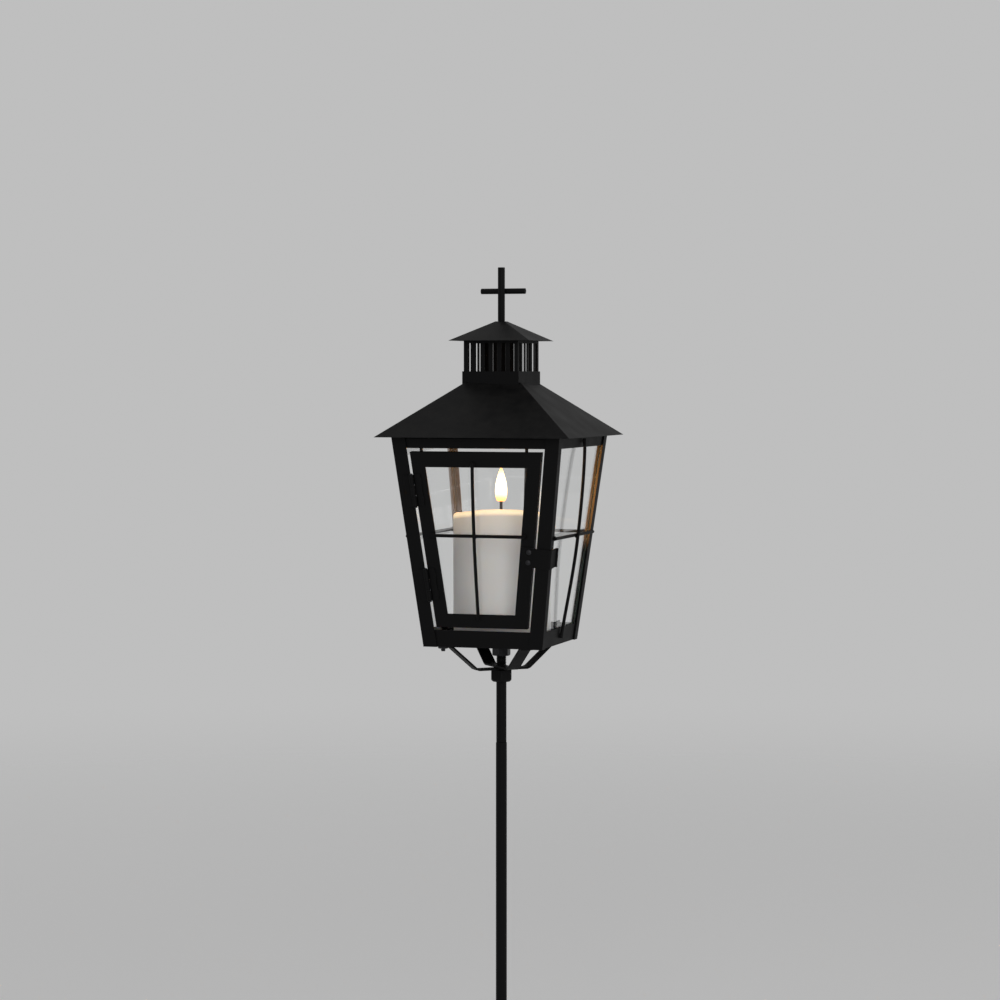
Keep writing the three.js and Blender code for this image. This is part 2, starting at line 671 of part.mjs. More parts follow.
// Spring clip from the door's right stile round the corner post, with a rolled lip.
function latchClip() {
  const front = -(SEAT + CLIP / 2);
  const side = SEAT + CLIP / 2;
  const splay = Math.sin(TILT) ** 2;
  const endX = side + splay * CLIP_LEG;
  const points = [
    new THREE.Vector2(-(DOOR_EDGE + CLIP_ON_DOOR), front),
    ...bend([side - CLIP_BEND_R, front + CLIP_BEND_R], CLIP_BEND_R, -Math.PI / 2, 0),
    ...bend([endX + CLIP_LIP_R, CLIP_LEG], CLIP_LIP_R, Math.PI, Math.PI * 0.2, 6),
  ];
  const strip = new THREE.ExtrudeGeometry(ribbon(points, CLIP), { depth: CLIP_HEIGHT, bevelEnabled: false });
  strip.translate(0, 0, -CLIP_HEIGHT / 2);
  const holes = Object.values(rivetPlaces()).map((place) => acrossFront(
    rod(RIVET_R + HOLE_PLAY, -OVER, OVER, SMALL_ROUND), place,
  ));
  return cut(strip, ...holes);
}

// A domed rivet through the clip and the stile, with a flat head behind.
function rivet() {
  const outside = CLIP + SEAT + FACE_GAP;
  const inside = -(SHEET + FACE_GAP);
  const [wide, high] = RIVET_DOME.shoulder;
  return turned([
    [0, inside - RIVET_HEAD], [RIVET_TAIL_R, inside - RIVET_HEAD], [RIVET_TAIL_R, inside],
    [RIVET_R, inside], [RIVET_R, outside], [RIVET_HEAD_R, outside],
    [RIVET_HEAD_R * wide, outside + RIVET_HEAD * high],
    [RIVET_HEAD_R * RIVET_DOME.crown, outside + RIVET_HEAD], [0, outside + RIVET_HEAD],
  ], SMALL_ROUND);
}

function latch() {
  const frame = new THREE.Group();
  frame.applyMatrix4(CLIP_FRAME);
  lantern.add(frame);
  piece('latch_clip', latchClip(), steel, frame);
  Object.entries(rivetPlaces()).forEach(([place, [x, z]]) => {
    const geometry = rivet().rotateX(Math.PI / 2);
    piece(`latch_rivet_${place}`, geometry, zinc, frame).position.set(x, 0, z);
  });
}

// Roof and chimney

function pyramidShell(halfLow, z0, rise, halfHigh, z1) {
  const fall = 1 / rise;
  const wall = SHEET / Math.sin(Math.atan(rise));
  const innerAt = (z) => halfLow - wall - (z - z0) * fall;
  const outer = frustum(halfLow, halfHigh, z0, z1);
  return { outer, innerAt };
}

function roof() {
  const low = BODY_HEIGHT + FACE_GAP;
  const top = ROOF_TOP + OVER;
  const hole = NECK_HALF + SEAT;
  const { outer, innerAt } = pyramidShell(EAVE_HALF, low, ROOF_SLOPE, hole - OVER / ROOF_SLOPE, top);
  const inner = frustum(innerAt(low - 1), innerAt(top - SHEET), low - 1, top - SHEET);
  const opening = box(-hole, hole, -hole, hole, ROOF_TOP - 2 * OVER, top + OVER).rotateZ(CHIMNEY_ANGLE);
  const shell = cut(outer, inner, opening);
  const ledge = squareTube(EAVE_HALF - 1.5 * SHEET, TOP_HALF - ROOF_LEDGE_REACH, low, low + SHEET);
  piece('roof', join(shell, ledge), steel);
}

// The chimney's own frame, turned on the roof.
const chimney = new THREE.Group();
chimney.rotation.z = CHIMNEY_ANGLE;
lantern.add(chimney);

// A square collar welded in the roof's opening, with a lip that carries the slotted tube.
function chimneyNeck() {
  const inner = NECK_HALF - CHIMNEY_SHEET;
  const tube = squareTube(NECK_HALF, inner, NECK_LOW, NECK_TOP);
  const lipOuter = NECK_HALF - CHIMNEY_SHEET / 2;
  const lip = squareTube(lipOuter, inner - NECK_LIP, NECK_LOW, NECK_LOW + CHIMNEY_SHEET);
  piece('chimney_neck', join(tube, lip), steel, chimney);
}

function slottedCollar() {
  const overhang = (CAP_HALF - COLLAR_REACH) * CAP_SLOPE;
  const top = CAP_LOW + overhang - SHEET / Math.cos(Math.atan(CAP_SLOPE)) - SEAT;
  const tube = squareTube(COLLAR_HALF, COLLAR_HALF - CHIMNEY_SHEET, COLLAR_LOW, top);
  const slotTop = CAP_LOW - SLOT_BAND;
  const slots = [];
  for (let i = 0; i < SLOTS; i += 1) {
    const place = (i - (SLOTS - 1) / 2) * SLOT_PITCH;
    const [a, b] = [place - SLOT_WIDTH / 2, place + SLOT_WIDTH / 2];
    slots.push(box(a, b, -NECK_HALF, NECK_HALF, NECK_TOP, slotTop));
    slots.push(box(-NECK_HALF, NECK_HALF, a, b, NECK_TOP, slotTop));
  }
  piece('chimney_slotted_collar', cut(tube, ...slots), steel, chimney);
}

function capRoof() {
  const { outer, innerAt } = pyramidShell(CAP_HALF, CAP_LOW, CAP_SLOPE, CAP_TOP_HALF, CAP_TOP);
  const ceiling = CAP_TOP - CAP_CROWN;
  const inner = frustum(innerAt(CAP_LOW - 1), innerAt(ceiling), CAP_LOW - 1, ceiling);
  const hole = rod(TENON_R + HOLE_PLAY, ceiling - OVER, CAP_TOP + OVER, SMALL_ROUND);
  piece('cap_roof', cut(outer, inner, hole), steel);
}

function cross() {
  const foot = CAP_TOP + FACE_GAP;
  piece('cross_upright', turned([
    [0, foot - TENON_LENGTH], [TENON_R, foot - TENON_LENGTH], [TENON_R, foot],
    [CROSS_D / 2, foot], [CROSS_D / 2, CROSS_TOP], [0, CROSS_TOP],
  ], SMALL_ROUND), steel);
  const arm = new THREE.CylinderGeometry(CROSS_ARM_D / 2, CROSS_ARM_D / 2, CROSS_ARM_LENGTH, SMALL_ROUND);
  arm.rotateZ(Math.PI / 2);
  const behind = (CROSS_D + CROSS_ARM_D) / 2 + FACE_GAP;
  piece('cross_arm', arm, steel).position.set(0, behind, CROSS_TOP - CROSS_ARM_DROP);
  const nutTop = CAP_TOP - CAP_CROWN - SEAT;
  piece('cross_nut', hexNut(M4_FLATS, TENON_R + HOLE_PLAY, nutTop - M4_NUT, nutTop), zinc);
}

// Bracket and stake

// A strip from a tab under the floor, down to a flat middle and up to the other tab.
function bracketStrip(drop) {
  const low = STRIP / 2 - drop;
  const high = -(TAB_GAP + STRIP / 2);
  const { back, on, rise, over } = STRIP_BEND;
  const right = [
    [STRIP_KNEE - back, low], [STRIP_KNEE + on, low + rise],
    [STRIP_SHOULDER - on, high - rise], [STRIP_SHOULDER + over, high],
    [STRIP_SHOULDER + STRIP_TAB, high],
  ];
  const left = right.map(([x, z]) => [-x, z]).reverse();
  const points = [...left, ...right].map(([x, z]) => new THREE.Vector2(x, z));
  const strip = new THREE.ExtrudeGeometry(ribbon(points, STRIP), { depth: STRIP_WIDTH, bevelEnabled: false });
  strip.rotateX(Math.PI / 2);
  strip.translate(0, STRIP_WIDTH / 2, 0);
  return cut(strip, rod(ROD_R + ROD_PLAY, -drop - OVER, -drop + OVER, SMALL_ROUND));
}

function bracket() {
  const turn = THREE.MathUtils.degToRad(BRACKET_TURN);
  piece('bracket_strip_side', bracketStrip(STRIP_DROP), steel).rotation.z = turn;
  const above = STRIP_DROP - STRIP - TAB_GAP;
  piece('bracket_strip_fore_aft', bracketStrip(above), steel).rotation.z = turn + Math.PI / 2;
  const bore = ROD_R + ROD_PLAY;
  const washerTop = -TAB_GAP;
  const nutTop = washerTop - WASHER - TAB_GAP;
  piece('floor_washer', ring(bore, WASHER_R, washerTop - WASHER, washerTop), zinc);
  piece('floor_nut', hexNut(FLOOR_NUT_FLATS, bore, nutTop - FLOOR_NUT, nutTop), zinc);
  piece('stake_collar_nut', collarNut(-STRIP_DROP - TAB_GAP), steel).rotation.z = Math.PI / 12;
}

// A tall nut under the bracket with its lower corners chamfered.
function collarNut(top) {
  const low = top - COLLAR_HEIGHT;
  const reach = COLLAR_FLATS / 2 / Math.cos(Math.PI / 6);
  const cone = turned([
    [0, low], [reach - COLLAR_CHAMFER, low], [reach, low + COLLAR_CHAMFER], [reach, top + OVER],
    [0, top + OVER],
  ]);
  const nut = toSolid(hexNut(COLLAR_FLATS, ROD_R + ROD_PLAY, low, top));
  return toGeometry(nut.intersect(toSolid(cone)));
}

function stake() {
  const joint = -JOINT_DROP;
  const tip = joint - SPIGOT_LENGTH;
  piece('stake_rod_upper', turned([
    [0, tip], [SPIGOT_R, tip], [SPIGOT_R, joint], [ROD_R, joint], [ROD_R, -2 * TAB_GAP], [0, -2 * TAB_GAP],
  ]), steel);
  const top = joint - FACE_GAP;
  const socket = tip - SEAT;
  const point = -BASE_Z - SPIKE_DEPTH;
  piece('stake_spike_lower', turned([
    [0, point], [POINT_R, point], [SPIKE_R, point + POINT_LENGTH], [SPIKE_R, top],
    [SPIGOT_R + ROD_PLAY, top], [SPIGOT_R + ROD_PLAY, socket], [0, socket],
  ]), steel);
}

function trayScrew() {
  const head = SHEET + FACE_GAP;
  const screw = turned([
    [0, -SCREW_END], [SCREW_R, -SCREW_END], [SCREW_R, head], [SCREW_HEAD_R, head],
    [SCREW_HEAD_R, head + SCREW_HEAD * SCREW_DOME.side],
    [SCREW_HEAD_R * SCREW_DOME.crown, head + SCREW_HEAD], [0, head + SCREW_HEAD],
  ], SMALL_ROUND);
  piece('tray_screw', screw, zinc).position.set(SCREW_X, SCREW_Y, 0);
  const nut = hexNut(M4_FLATS, SCREW_R + HOLE_PLAY, -SEAT - M4_NUT, -SEAT);
  piece('tray_screw_nut', nut, zinc).position.set(SCREW_X, SCREW_Y, 0);
}

// Battery candle, in a group that stands on the floor

const candle = new THREE.Group();
candle.position.z = CANDLE_Z;
lantern.add(candle);

// Lifts the rim and the dish towards the rim's highest point, where the wax stands up.
function waveRim(geometry) {
  const places = geometry.attributes.position;
  const floor = CANDLE_HEIGHT - DISH_DEPTH;
  for (let i = 0; i < places.count; i += 1) {
    const angle = Math.atan2(places.getY(i), places.getX(i)) - THREE.MathUtils.degToRad(RIM_HIGH);
    const share = THREE.MathUtils.clamp((places.getZ(i) - floor) / DISH_DEPTH, 0, 1);
    const lift = RIM_WAVE * share * Math.max(Math.cos(angle), 0) ** RIM_SPREAD;
    places.setZ(i, places.getZ(i) + lift);
  }
  geometry.computeVertexNormals();
  return geometry;
}

// The wax: a tube with a dished, wavy top and a hole for the wick.
function waxShell() {
  const lid = CANDLE_HEIGHT - DISH_DEPTH - WAX_LID;
  const rim = CANDLE_HEIGHT - EDGE_R;
  const hole = WICK_R + HOLE_PLAY;
  const inner = CANDLE_R - WAX;
  const edge = bend([CANDLE_R - EDGE_R, rim], EDGE_R, 0, Math.PI / 2, 4).map(({ x, y }) => [x, y]);
  const dish = [];
  const steps = 6;
  for (let i = 0; i <= steps; i += 1) {
    const share = i / steps;
    const r = CANDLE_R - DISH_RIM + (DISH_FLOOR_R - CANDLE_R + DISH_RIM) * share;
    dish.push([r, CANDLE_HEIGHT - DISH_DEPTH * Math.sin(share * Math.PI / 2) ** DISH_FULLNESS]);
  }
  const shell = turned([
    [hole, lid], [inner, lid], [inner, 0], [CANDLE_R - FOOT_EDGE, 0], [CANDLE_R, FOOT_EDGE],
    ...edge, ...dish, [hole, CANDLE_HEIGHT - DISH_DEPTH], [hole, lid],
  ], WAX_ROUND);
  piece('candle_wax_shell', waveRim(shell), wax, candle);
}

function candleCore() {
  const low = FOOT_RECESS + FOOT_PLATE + FACE_GAP;
  const hole = WICK_R + HOLE_PLAY;
  const inner = CORE_R - CORE_WALL;
  piece('candle_housing', turned([
    [inner, low], [CORE_R, low], [CORE_R, CORE_TOP], [hole, CORE_TOP],
    [hole, CORE_TOP - CORE_WALL], [inner, CORE_TOP - CORE_WALL], [inner, low],
  ]), plastic, candle);
  const disc = rod(CORE_R, FOOT_RECESS, FOOT_RECESS + FOOT_PLATE);
  const [hx, hy] = [HATCH_LENGTH / 2, HATCH_WIDTH / 2];
  const [sx, sy] = SWITCH_SLOT;
  const hatchHole = box(-hx, hx, -hy, hy, 0, OVER + FOOT_PLATE);
  const slot = box(-sx / 2, sx / 2, SWITCH_Y - sy / 2, SWITCH_Y + sy / 2, 0, OVER + FOOT_PLATE);
  piece('candle_foot_plate', cut(disc, hatchHole, slot), plastic, candle);
  const hatch = box(
    SEAT - hx, hx - SEAT, SEAT - hy, hy - SEAT, FOOT_RECESS, FOOT_RECESS + FOOT_PLATE,
  );
  piece('battery_hatch', hatch, plastic, candle);
}

function batteries() {
  const low = FOOT_RECESS + FOOT_PLATE + SEAT;
  const top = low + BATTERY_LENGTH;
  const cell = () => turned([
    [0, low], [BATTERY_R - BATTERY_EDGE, low], [BATTERY_R, low + BATTERY_EDGE],
    [BATTERY_R, top - BATTERY_EDGE], [BATTERY_R - BATTERY_EDGE, top], [BATTERY_NUB_R, top],
    [BATTERY_NUB_R, top + BATTERY_NUB], [0, top + BATTERY_NUB],
  ]);
  piece('battery_left', cell(), batteryWrap, candle).position.x = -BATTERY_SPACING / 2;
  piece('battery_right', cell(), batteryWrap, candle).position.x = BATTERY_SPACING / 2;
  const boardTop = CORE_TOP - CORE_WALL - SEAT;
  const half = BOARD_SIZE / 2;
  piece('circuit_board', box(-half, half, -half, half, boardTop - BOARD, boardTop), boardGreen, candle);
}

function flame() {
  const foot = CORE_TOP - CORE_WALL;
  piece('wick_stem', rod(WICK_R, foot, WICK_TOP, SMALL_ROUND), darkPlastic, candle);
  const socket = WICK_R + HOLE_PLAY;
  const steps = 12;
  const skin = [];
  for (let i = 0; i <= steps; i += 1) {
    const share = i / steps;
    const swell = Math.sin(Math.PI * share ** FLAME_SWELL.low) ** FLAME_SWELL.fullness;
    const foothold = (1 - share) * FLAME_SWELL.foot;
    skin.push([FLAME_R * Math.max(swell, foothold), FLAME_LOW + FLAME_LENGTH * share]);
  }
  skin[steps][0] = 0;
  piece('flame_tip', turned([
    [socket, FLAME_LOW], ...skin, [0, WICK_TOP + SEAT], [socket, WICK_TOP + SEAT], [socket, FLAME_LOW],
  ], 20), flameLight, candle);
}

// A slide switch in the foot: a knob through the slot and a plate that keeps it in.
function powerSwitch() {
  const [kx, ky] = SWITCH_KNOB;
  const [px, py] = SWITCH_PLATE;
  const top = FOOT_RECESS + FOOT_PLATE;
  const shift = SWITCH_TRAVEL / 2;
  const low = top + SEAT;
  const knob = box(shift - kx / 2, shift + kx / 2, -ky / 2, ky / 2, FOOT_RECESS - SWITCH_PROUD, low + SEAT);
  const plate = box(shift - px / 2, shift + px / 2, -py / 2, py / 2, low, low + SWITCH_SHEET);
  piece('power_switch', join(knob, plate), darkPlastic, candle).position.y = SWITCH_Y;
}

posts();
baseTray();
topFrame();
panes();
sideWires();
paneClips();
door();
hinges();
latch();
roof();
chimneyNeck();
slottedCollar();
capRoof();
cross();
bracket();
stake();
trayScrew();
waxShell();
candleCore();
batteries();
flame();
powerSwitch();

export default model;
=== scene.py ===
"""Finishes the grave lantern: coated sheet metal, welded wires, fasteners, panes, candle and a studio."""

import json
import math

import bmesh
import bpy
from bpy.props import FloatProperty, FloatVectorProperty, IntProperty, PointerProperty
from mathutils import Matrix, Vector, noise

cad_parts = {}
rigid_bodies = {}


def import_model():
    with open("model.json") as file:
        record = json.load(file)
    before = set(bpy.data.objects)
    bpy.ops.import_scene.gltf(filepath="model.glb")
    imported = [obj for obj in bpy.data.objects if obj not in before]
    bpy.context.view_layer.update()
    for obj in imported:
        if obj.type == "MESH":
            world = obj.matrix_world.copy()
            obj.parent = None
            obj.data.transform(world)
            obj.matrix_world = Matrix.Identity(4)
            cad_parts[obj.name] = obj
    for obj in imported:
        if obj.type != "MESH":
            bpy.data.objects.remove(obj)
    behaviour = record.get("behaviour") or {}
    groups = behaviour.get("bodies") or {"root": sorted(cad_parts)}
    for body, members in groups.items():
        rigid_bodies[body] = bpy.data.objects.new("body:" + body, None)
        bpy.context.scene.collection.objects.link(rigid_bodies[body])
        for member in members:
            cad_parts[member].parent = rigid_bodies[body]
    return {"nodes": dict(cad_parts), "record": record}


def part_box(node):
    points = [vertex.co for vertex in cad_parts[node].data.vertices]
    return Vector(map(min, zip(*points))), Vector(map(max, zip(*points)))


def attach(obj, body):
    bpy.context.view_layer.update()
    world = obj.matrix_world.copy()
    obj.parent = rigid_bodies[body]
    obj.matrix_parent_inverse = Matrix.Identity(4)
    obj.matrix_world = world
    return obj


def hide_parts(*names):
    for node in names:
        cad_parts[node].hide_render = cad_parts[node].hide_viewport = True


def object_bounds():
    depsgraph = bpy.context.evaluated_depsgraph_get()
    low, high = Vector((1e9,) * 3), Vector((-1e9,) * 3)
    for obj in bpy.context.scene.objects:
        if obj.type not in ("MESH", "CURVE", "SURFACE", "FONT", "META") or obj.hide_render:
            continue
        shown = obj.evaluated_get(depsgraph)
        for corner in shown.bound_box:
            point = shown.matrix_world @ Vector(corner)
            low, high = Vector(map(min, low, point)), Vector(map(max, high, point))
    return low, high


bl_info = {
    "name": "Grave Lantern",
    "version": (1, 0, 0),
    "blender": (4, 5, 0),
    "location": "View3D > Sidebar > Lantern",
    "description": "Sheet metal, wires, fasteners, candle, glass and studio of a grave lantern",
    "category": "Object",
}

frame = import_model()
CAD_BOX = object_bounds()
NODES = frame["nodes"]
BODY_OF = {node: body for body, nodes in frame["record"]["behaviour"]["bodies"].items() for node in nodes}

MM = 0.001

# Sizes of the lantern in metres, as in the CAD
BASE_Z = 260 * MM               # underside of the lantern above the ground
BODY_HEIGHT = 162 * MM
BASE_HALF = 48 * MM
TOP_HALF = 67.2 * MM
LEAN = (TOP_HALF - BASE_HALF) / BODY_HEIGHT
TILT = math.atan(LEAN)
SIDES = ("front", "right", "rear", "left")
SEAT = 0.3 * MM
DOOR_EDGE = 13.2 * MM
STILE = 10.8 * MM
DOOR_WINDOW = (26.3 * MM, 139.3 * MM)
WIRE_GAP = 0.15 * MM
WIRE_LEVEL = 0.537 * BODY_HEIGHT
SIDE_WIRE_LEVEL = WIRE_LEVEL - 1.3 * MM
SIDE_WIRE_IN = 5.8 * MM
SIDE_WIRE_ENDS = (5 * MM, BODY_HEIGHT - 1.5 * MM)
WIRE_LAP = 4 * MM
DOOR_WIRE_SHIFT = -2 * MM
RAIL_DEPTH = 1.3 * MM
HINGE_HEIGHTS = {"upper": 0.749 * BODY_HEIGHT, "lower": 0.3 * BODY_HEIGHT}
HINGE_LENGTH = 24.8 * MM
HINGE_LINE = 12.1 * MM          # inwards from the corner line
PIN_R = 0.9 * MM
BARREL_R = 1.9 * MM
LEAF_WIDTH = 7 * MM
CLIP_CENTRE = 0.429 * BODY_HEIGHT
RIVET_PLACES = {"upper": (-16.6 * MM, 4 * MM), "lower": (-16.6 * MM, -4 * MM)}
CROSS_ARM_R = 2.2 * MM
CROSS_R = 2.75 * MM
CROSS_SHANK_R = 2 * MM
CROSS_FOOT = 41.9 * MM          # foot of the upright below its top
CAP_TOP_SHARE = 0.7             # of the width of the flat top under the cross
STAKE_R = 4 * MM
SPIGOT_R = 2.8 * MM
SPIKE_R = 4.3 * MM
STAKE_JOINT = 78.2 * MM         # below the lantern
THREAD_END = 28 * MM            # below the lantern, inside the collar nut
THREAD_DEPTH = 0.42             # of the pitch
SCREW_PITCH = 0.7 * MM
SCREW_NUT_FOOT = 3.5 * MM       # below the lantern
CANDLE_HEIGHT = 101 * MM
CANDLE_Z = BASE_Z + 1.1 * MM
DISH_DEPTH = 9 * MM
RIM_WAVE = 4.4 * MM
RIM_HIGH = math.radians(-72.3)
WICK_R = 1.15 * MM
FLAME_Z = CANDLE_Z + CANDLE_HEIGHT + 9.1 * MM
FLAME_LENGTH = 27.4 * MM
FLAME_R = 4.7 * MM
FLAME_FOOT = 0.12               # share of the full drop that is cut off at its foot

# Limits for the copies of CAD nodes
SAME_SPOT = 0.002 * MM
FLAT_ANGLE = math.radians(0.5)
FOLD_ANGLE = math.radians(30)


# Sizes and colours that a user would change


def length(name, description, default, low=0.0):
    return FloatProperty(
        name=name, description=description, default=default, min=low, precision=5, unit="LENGTH",
    )


def colour(name, description, default):
    return FloatVectorProperty(
        name=name, description=description, default=default, subtype="COLOR", size=3, min=0, max=1,
    )


def power(name, description, default):
    return FloatProperty(name=name, description=description, default=default, min=0, unit="POWER")


class LanternSizes(bpy.types.PropertyGroup):
    """Sizes of the fine shapes"""

    edge_radius: length("Edge radius", "Rounding of the cut sheet edges", 0.22 * MM)
    hip_radius: length("Hip radius", "Rounding of the folds between the sides of a roof", 0.7 * MM)
    wire_diameter: length("Wire diameter", "Diameter of the glazing wires", 2.6 * MM, 0.5 * MM)
    bead_radius: length("Weld bead", "Radius of a drop of weld", 0.75 * MM)
    thread_pitch: length("Thread pitch", "Rise of the rod's thread in one turn", 1.25 * MM, 0.2 * MM)
    round_sides: IntProperty(
        name="Round sides", description="Sides of a turned piece", default=56, min=12, max=128,
    )
    wax_unevenness: length("Wax unevenness", "Depth of the hollows in the cast wax", 0.35 * MM)


class LanternColours(bpy.types.PropertyGroup):
    """Colours of the finishes"""

    coat: colour("Coat", "Black powder coat", (0.0036, 0.0036, 0.0038))
    coat_wear: colour("Worn edge", "Rubbed edges of the coat", (0.024, 0.024, 0.025))
    zinc: colour("Black zinc", "Plating of the fasteners", (0.022, 0.022, 0.024))
    wax: colour("Wax", "Ivory wax of the candle", (0.7, 0.675, 0.65))
    # Colour of the painted glow: emission in the wax that stands in for the flame's light
    wax_glow: colour("Wax glow", "Light of the flame that shines through the wax's rim", (1.0, 0.68, 0.3))
    flame: colour("Flame", "Warm light of the flame", (1.0, 0.44, 0.12))
    glass: colour("Glass", "Tint of the panes", (0.985, 0.99, 0.988))


class LanternStudio(bpy.types.PropertyGroup):
    """Light and floor"""

    floor: colour("Floor", "Pale floor", (0.92, 0.92, 0.92))
    backdrop: colour("Backdrop", "Plain background behind the floor", (0.52, 0.52, 0.52))
    sky_level: FloatProperty(name="Sky level", description="Light from all round", default=0.36, min=0)
    lamp_power: power("Lamp power", "Power of the large soft lamps, of which each has its share", 20.0)
    flame_power: power("Flame power", "Light of the candle's flame", 0.1)


def sizes():
    return bpy.context.scene.lantern_sizes


def colours():
    return bpy.context.scene.lantern_colours


def studio():
    return bpy.context.scene.lantern_studio


# Meshes

MADE = {}


def once(maker):
    """What a maker makes, made only once."""
    if maker not in MADE:
        MADE[maker] = maker()
    return MADE[maker]


def with_values(thing, **values):
    for key, value in values.items():
        setattr(thing, key, value)
    return thing


def new_object(name, data):
    thing = bpy.data.objects.new(name, data)
    bpy.context.scene.collection.objects.link(thing)
    return thing


def from_bmesh(name, bm):
    mesh = bpy.data.meshes.new(name)
    bm.to_mesh(mesh)
    bm.free()
    return new_object(name, mesh)


def finish_piece(thing, maker, nodes, body=None, sharp=35):
    """Gives the piece its finish and rides it on its body, in place of the nodes that it stands for."""
    mesh = thing.data
    mesh.materials.clear()
    mesh.materials.append(once(maker))
    for polygon in mesh.polygons:
        polygon.use_smooth = True
    mesh.set_sharp_from_angle(angle=math.radians(sharp))
    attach(thing, body or BODY_OF[nodes[0]])
    if nodes:
        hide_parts(*nodes)
    return thing


def softened(node, maker, width=None, segments=2, shape=None):
    """A copy of a CAD node with its triangles joined to flat faces and its edges rounded."""
    bm = bmesh.new()
    bm.from_mesh(NODES[node].data)
    bmesh.ops.remove_doubles(bm, verts=bm.verts, dist=SAME_SPOT)
    if shape:
        shape(bm)
    bmesh.ops.dissolve_limit(
        bm, angle_limit=FLAT_ANGLE, use_dissolve_boundaries=False, verts=bm.verts, edges=bm.edges,
    )
    thing = from_bmesh(node + "_soft", bm)
    with_values(
        thing.modifiers.new("Rounded edges", "BEVEL"), width=width or sizes().edge_radius,
        segments=segments, limit_method="ANGLE", angle_limit=FOLD_ANGLE, harden_normals=True,
    )
    return finish_piece(thing, maker, [node])


def lofted(name, rings, place=Matrix()):
    """A closed skin over rings of points, of which a ring of one point is a pole."""
    bm = bmesh.new()
    rings = [[bm.verts.new(point) for point in ring] for ring in rings]
    pairs = list(zip(rings, rings[1:]))
    if len(rings[0]) > 1 and len(rings[-1]) > 1:
        pairs.append((rings[-1], rings[0]))
    count = max(len(ring) for ring in rings)
    for low, high in pairs:
        for i in range(count):
            j = (i + 1) % count
            corners = low[i % len(low)], low[j % len(low)], high[j % len(high)], high[i % len(high)]
            bm.faces.new(list(dict.fromkeys(corners)))
    bmesh.ops.recalc_face_normals(bm, faces=bm.faces)
    bm.transform(place)
    return from_bmesh(name, bm)


def around(sides):
    return [2 * math.pi * i / sides for i in range(sides)]


def polar(radius, angle, height):
    return radius * math.cos(angle), radius * math.sin(angle), height


def circle(radius, height, sides):
    return [polar(radius, angle, height) for angle in around(sides)] if radius else [(0, 0, height)]


def turned(name, node, maker, profile, place=Matrix(), sides=None, sharp=35):
    """A turned piece from (radius, height) points, which end on the axis or close on themselves."""
    rings = [circle(radius, height, sides or sizes().round_sides) for radius, height in profile]
    return finish_piece(lofted(name, rings, place), maker, [node], sharp=sharp)


def rounded(points, radius, steps=3):
    """Profile points with each inner corner replaced by a small arc."""
    smooth = [points[0]]
    for before, corner, after in zip(points, points[1:], points[2:]):
        p, q, r = Vector(before), Vector(corner), Vector(after)
        reach = min(radius, (p - q).length * 0.45, (r - q).length * 0.45)
        start, end = q + (p - q).normalized() * reach, q + (r - q).normalized() * reach
        for i in range(steps + 1):
            t = i / steps
            smooth.append(tuple(start * (1 - t) ** 2 + q * 2 * t * (1 - t) + end * t ** 2))
    smooth.append(points[-1])
    return smooth


def hex_nut(name, flats, bore, low, high, place, chamfers):
    """A hexagonal nut with turned chamfers at its ends and a countersunk bore."""
    sides = 96
    sink = 0.5 * MM
    sixth = math.pi / 3
    corner = flats / 2 / math.cos(sixth / 2)

    def outer(height, rise):
        """The rings at an end of the nut and where its flats meet the chamfer."""
        end, edge = [], []
        inner = corner - abs(rise)
        for angle in around(sides):
            reach = flats / 2 / math.cos((angle + sixth / 2) % sixth - sixth / 2)
            end.append(polar(min(reach, inner), angle, height))
            edge.append(polar(reach, angle, height + math.copysign(max(reach - inner, 0), rise)))
        return end, edge

    foot, foot_edge = outer(low, chamfers[0])
    head, head_edge = outer(high, -chamfers[1])
    rings = [
        circle(bore, low + sink, sides), circle(bore + sink, low, sides), foot, foot_edge,
        head_edge, head, circle(bore + sink, high, sides), circle(bore, high - sink, sides),
    ]
    return lofted(name, rings, place)


# Frames of the faces, the hinges, the spring clip and the upright nodes


def face_place(side):
    """Frame of a body face: x across, y inwards and z up its slope from the underside."""
    turn = Matrix.Rotation(SIDES.index(side) * math.pi / 2, 4, "Z")
    return turn @ Matrix.Translation((0, -BASE_HALF, BASE_Z)) @ Matrix.Rotation(TILT, 4, "X")


def slope(height):
    return height / math.cos(TILT)


def half_at(up):
    return BASE_HALF + up * math.sin(TILT)


def hinge_place(height):
    up = slope(height)
    spot = Matrix.Translation((HINGE_LINE - half_at(up), -BARREL_R - WIRE_GAP, up))
    return face_place("front") @ spot @ Matrix.Rotation(-math.atan(math.sin(TILT)), 4, "Y")


def clip_place():
    corner = BASE_HALF + CLIP_CENTRE * LEAN
    upward = Vector((LEAN, -LEAN, 1)).normalized()
    inward = Vector((0, math.cos(TILT), math.sin(TILT)))
    across = inward.cross(upward)
    turn = Matrix((across, inward, upward)).transposed().to_4x4()
    return Matrix.Translation((corner, -corner, BASE_Z + CLIP_CENTRE)) @ turn


def axis_place(node):
    """A place on the ground below the middle of a node."""
    low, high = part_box(node)
    return Matrix.Translation(((low[0] + high[0]) / 2, (low[1] + high[1]) / 2, 0))


def heights(node):
    return [corner[2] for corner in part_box(node)]


# Node trees


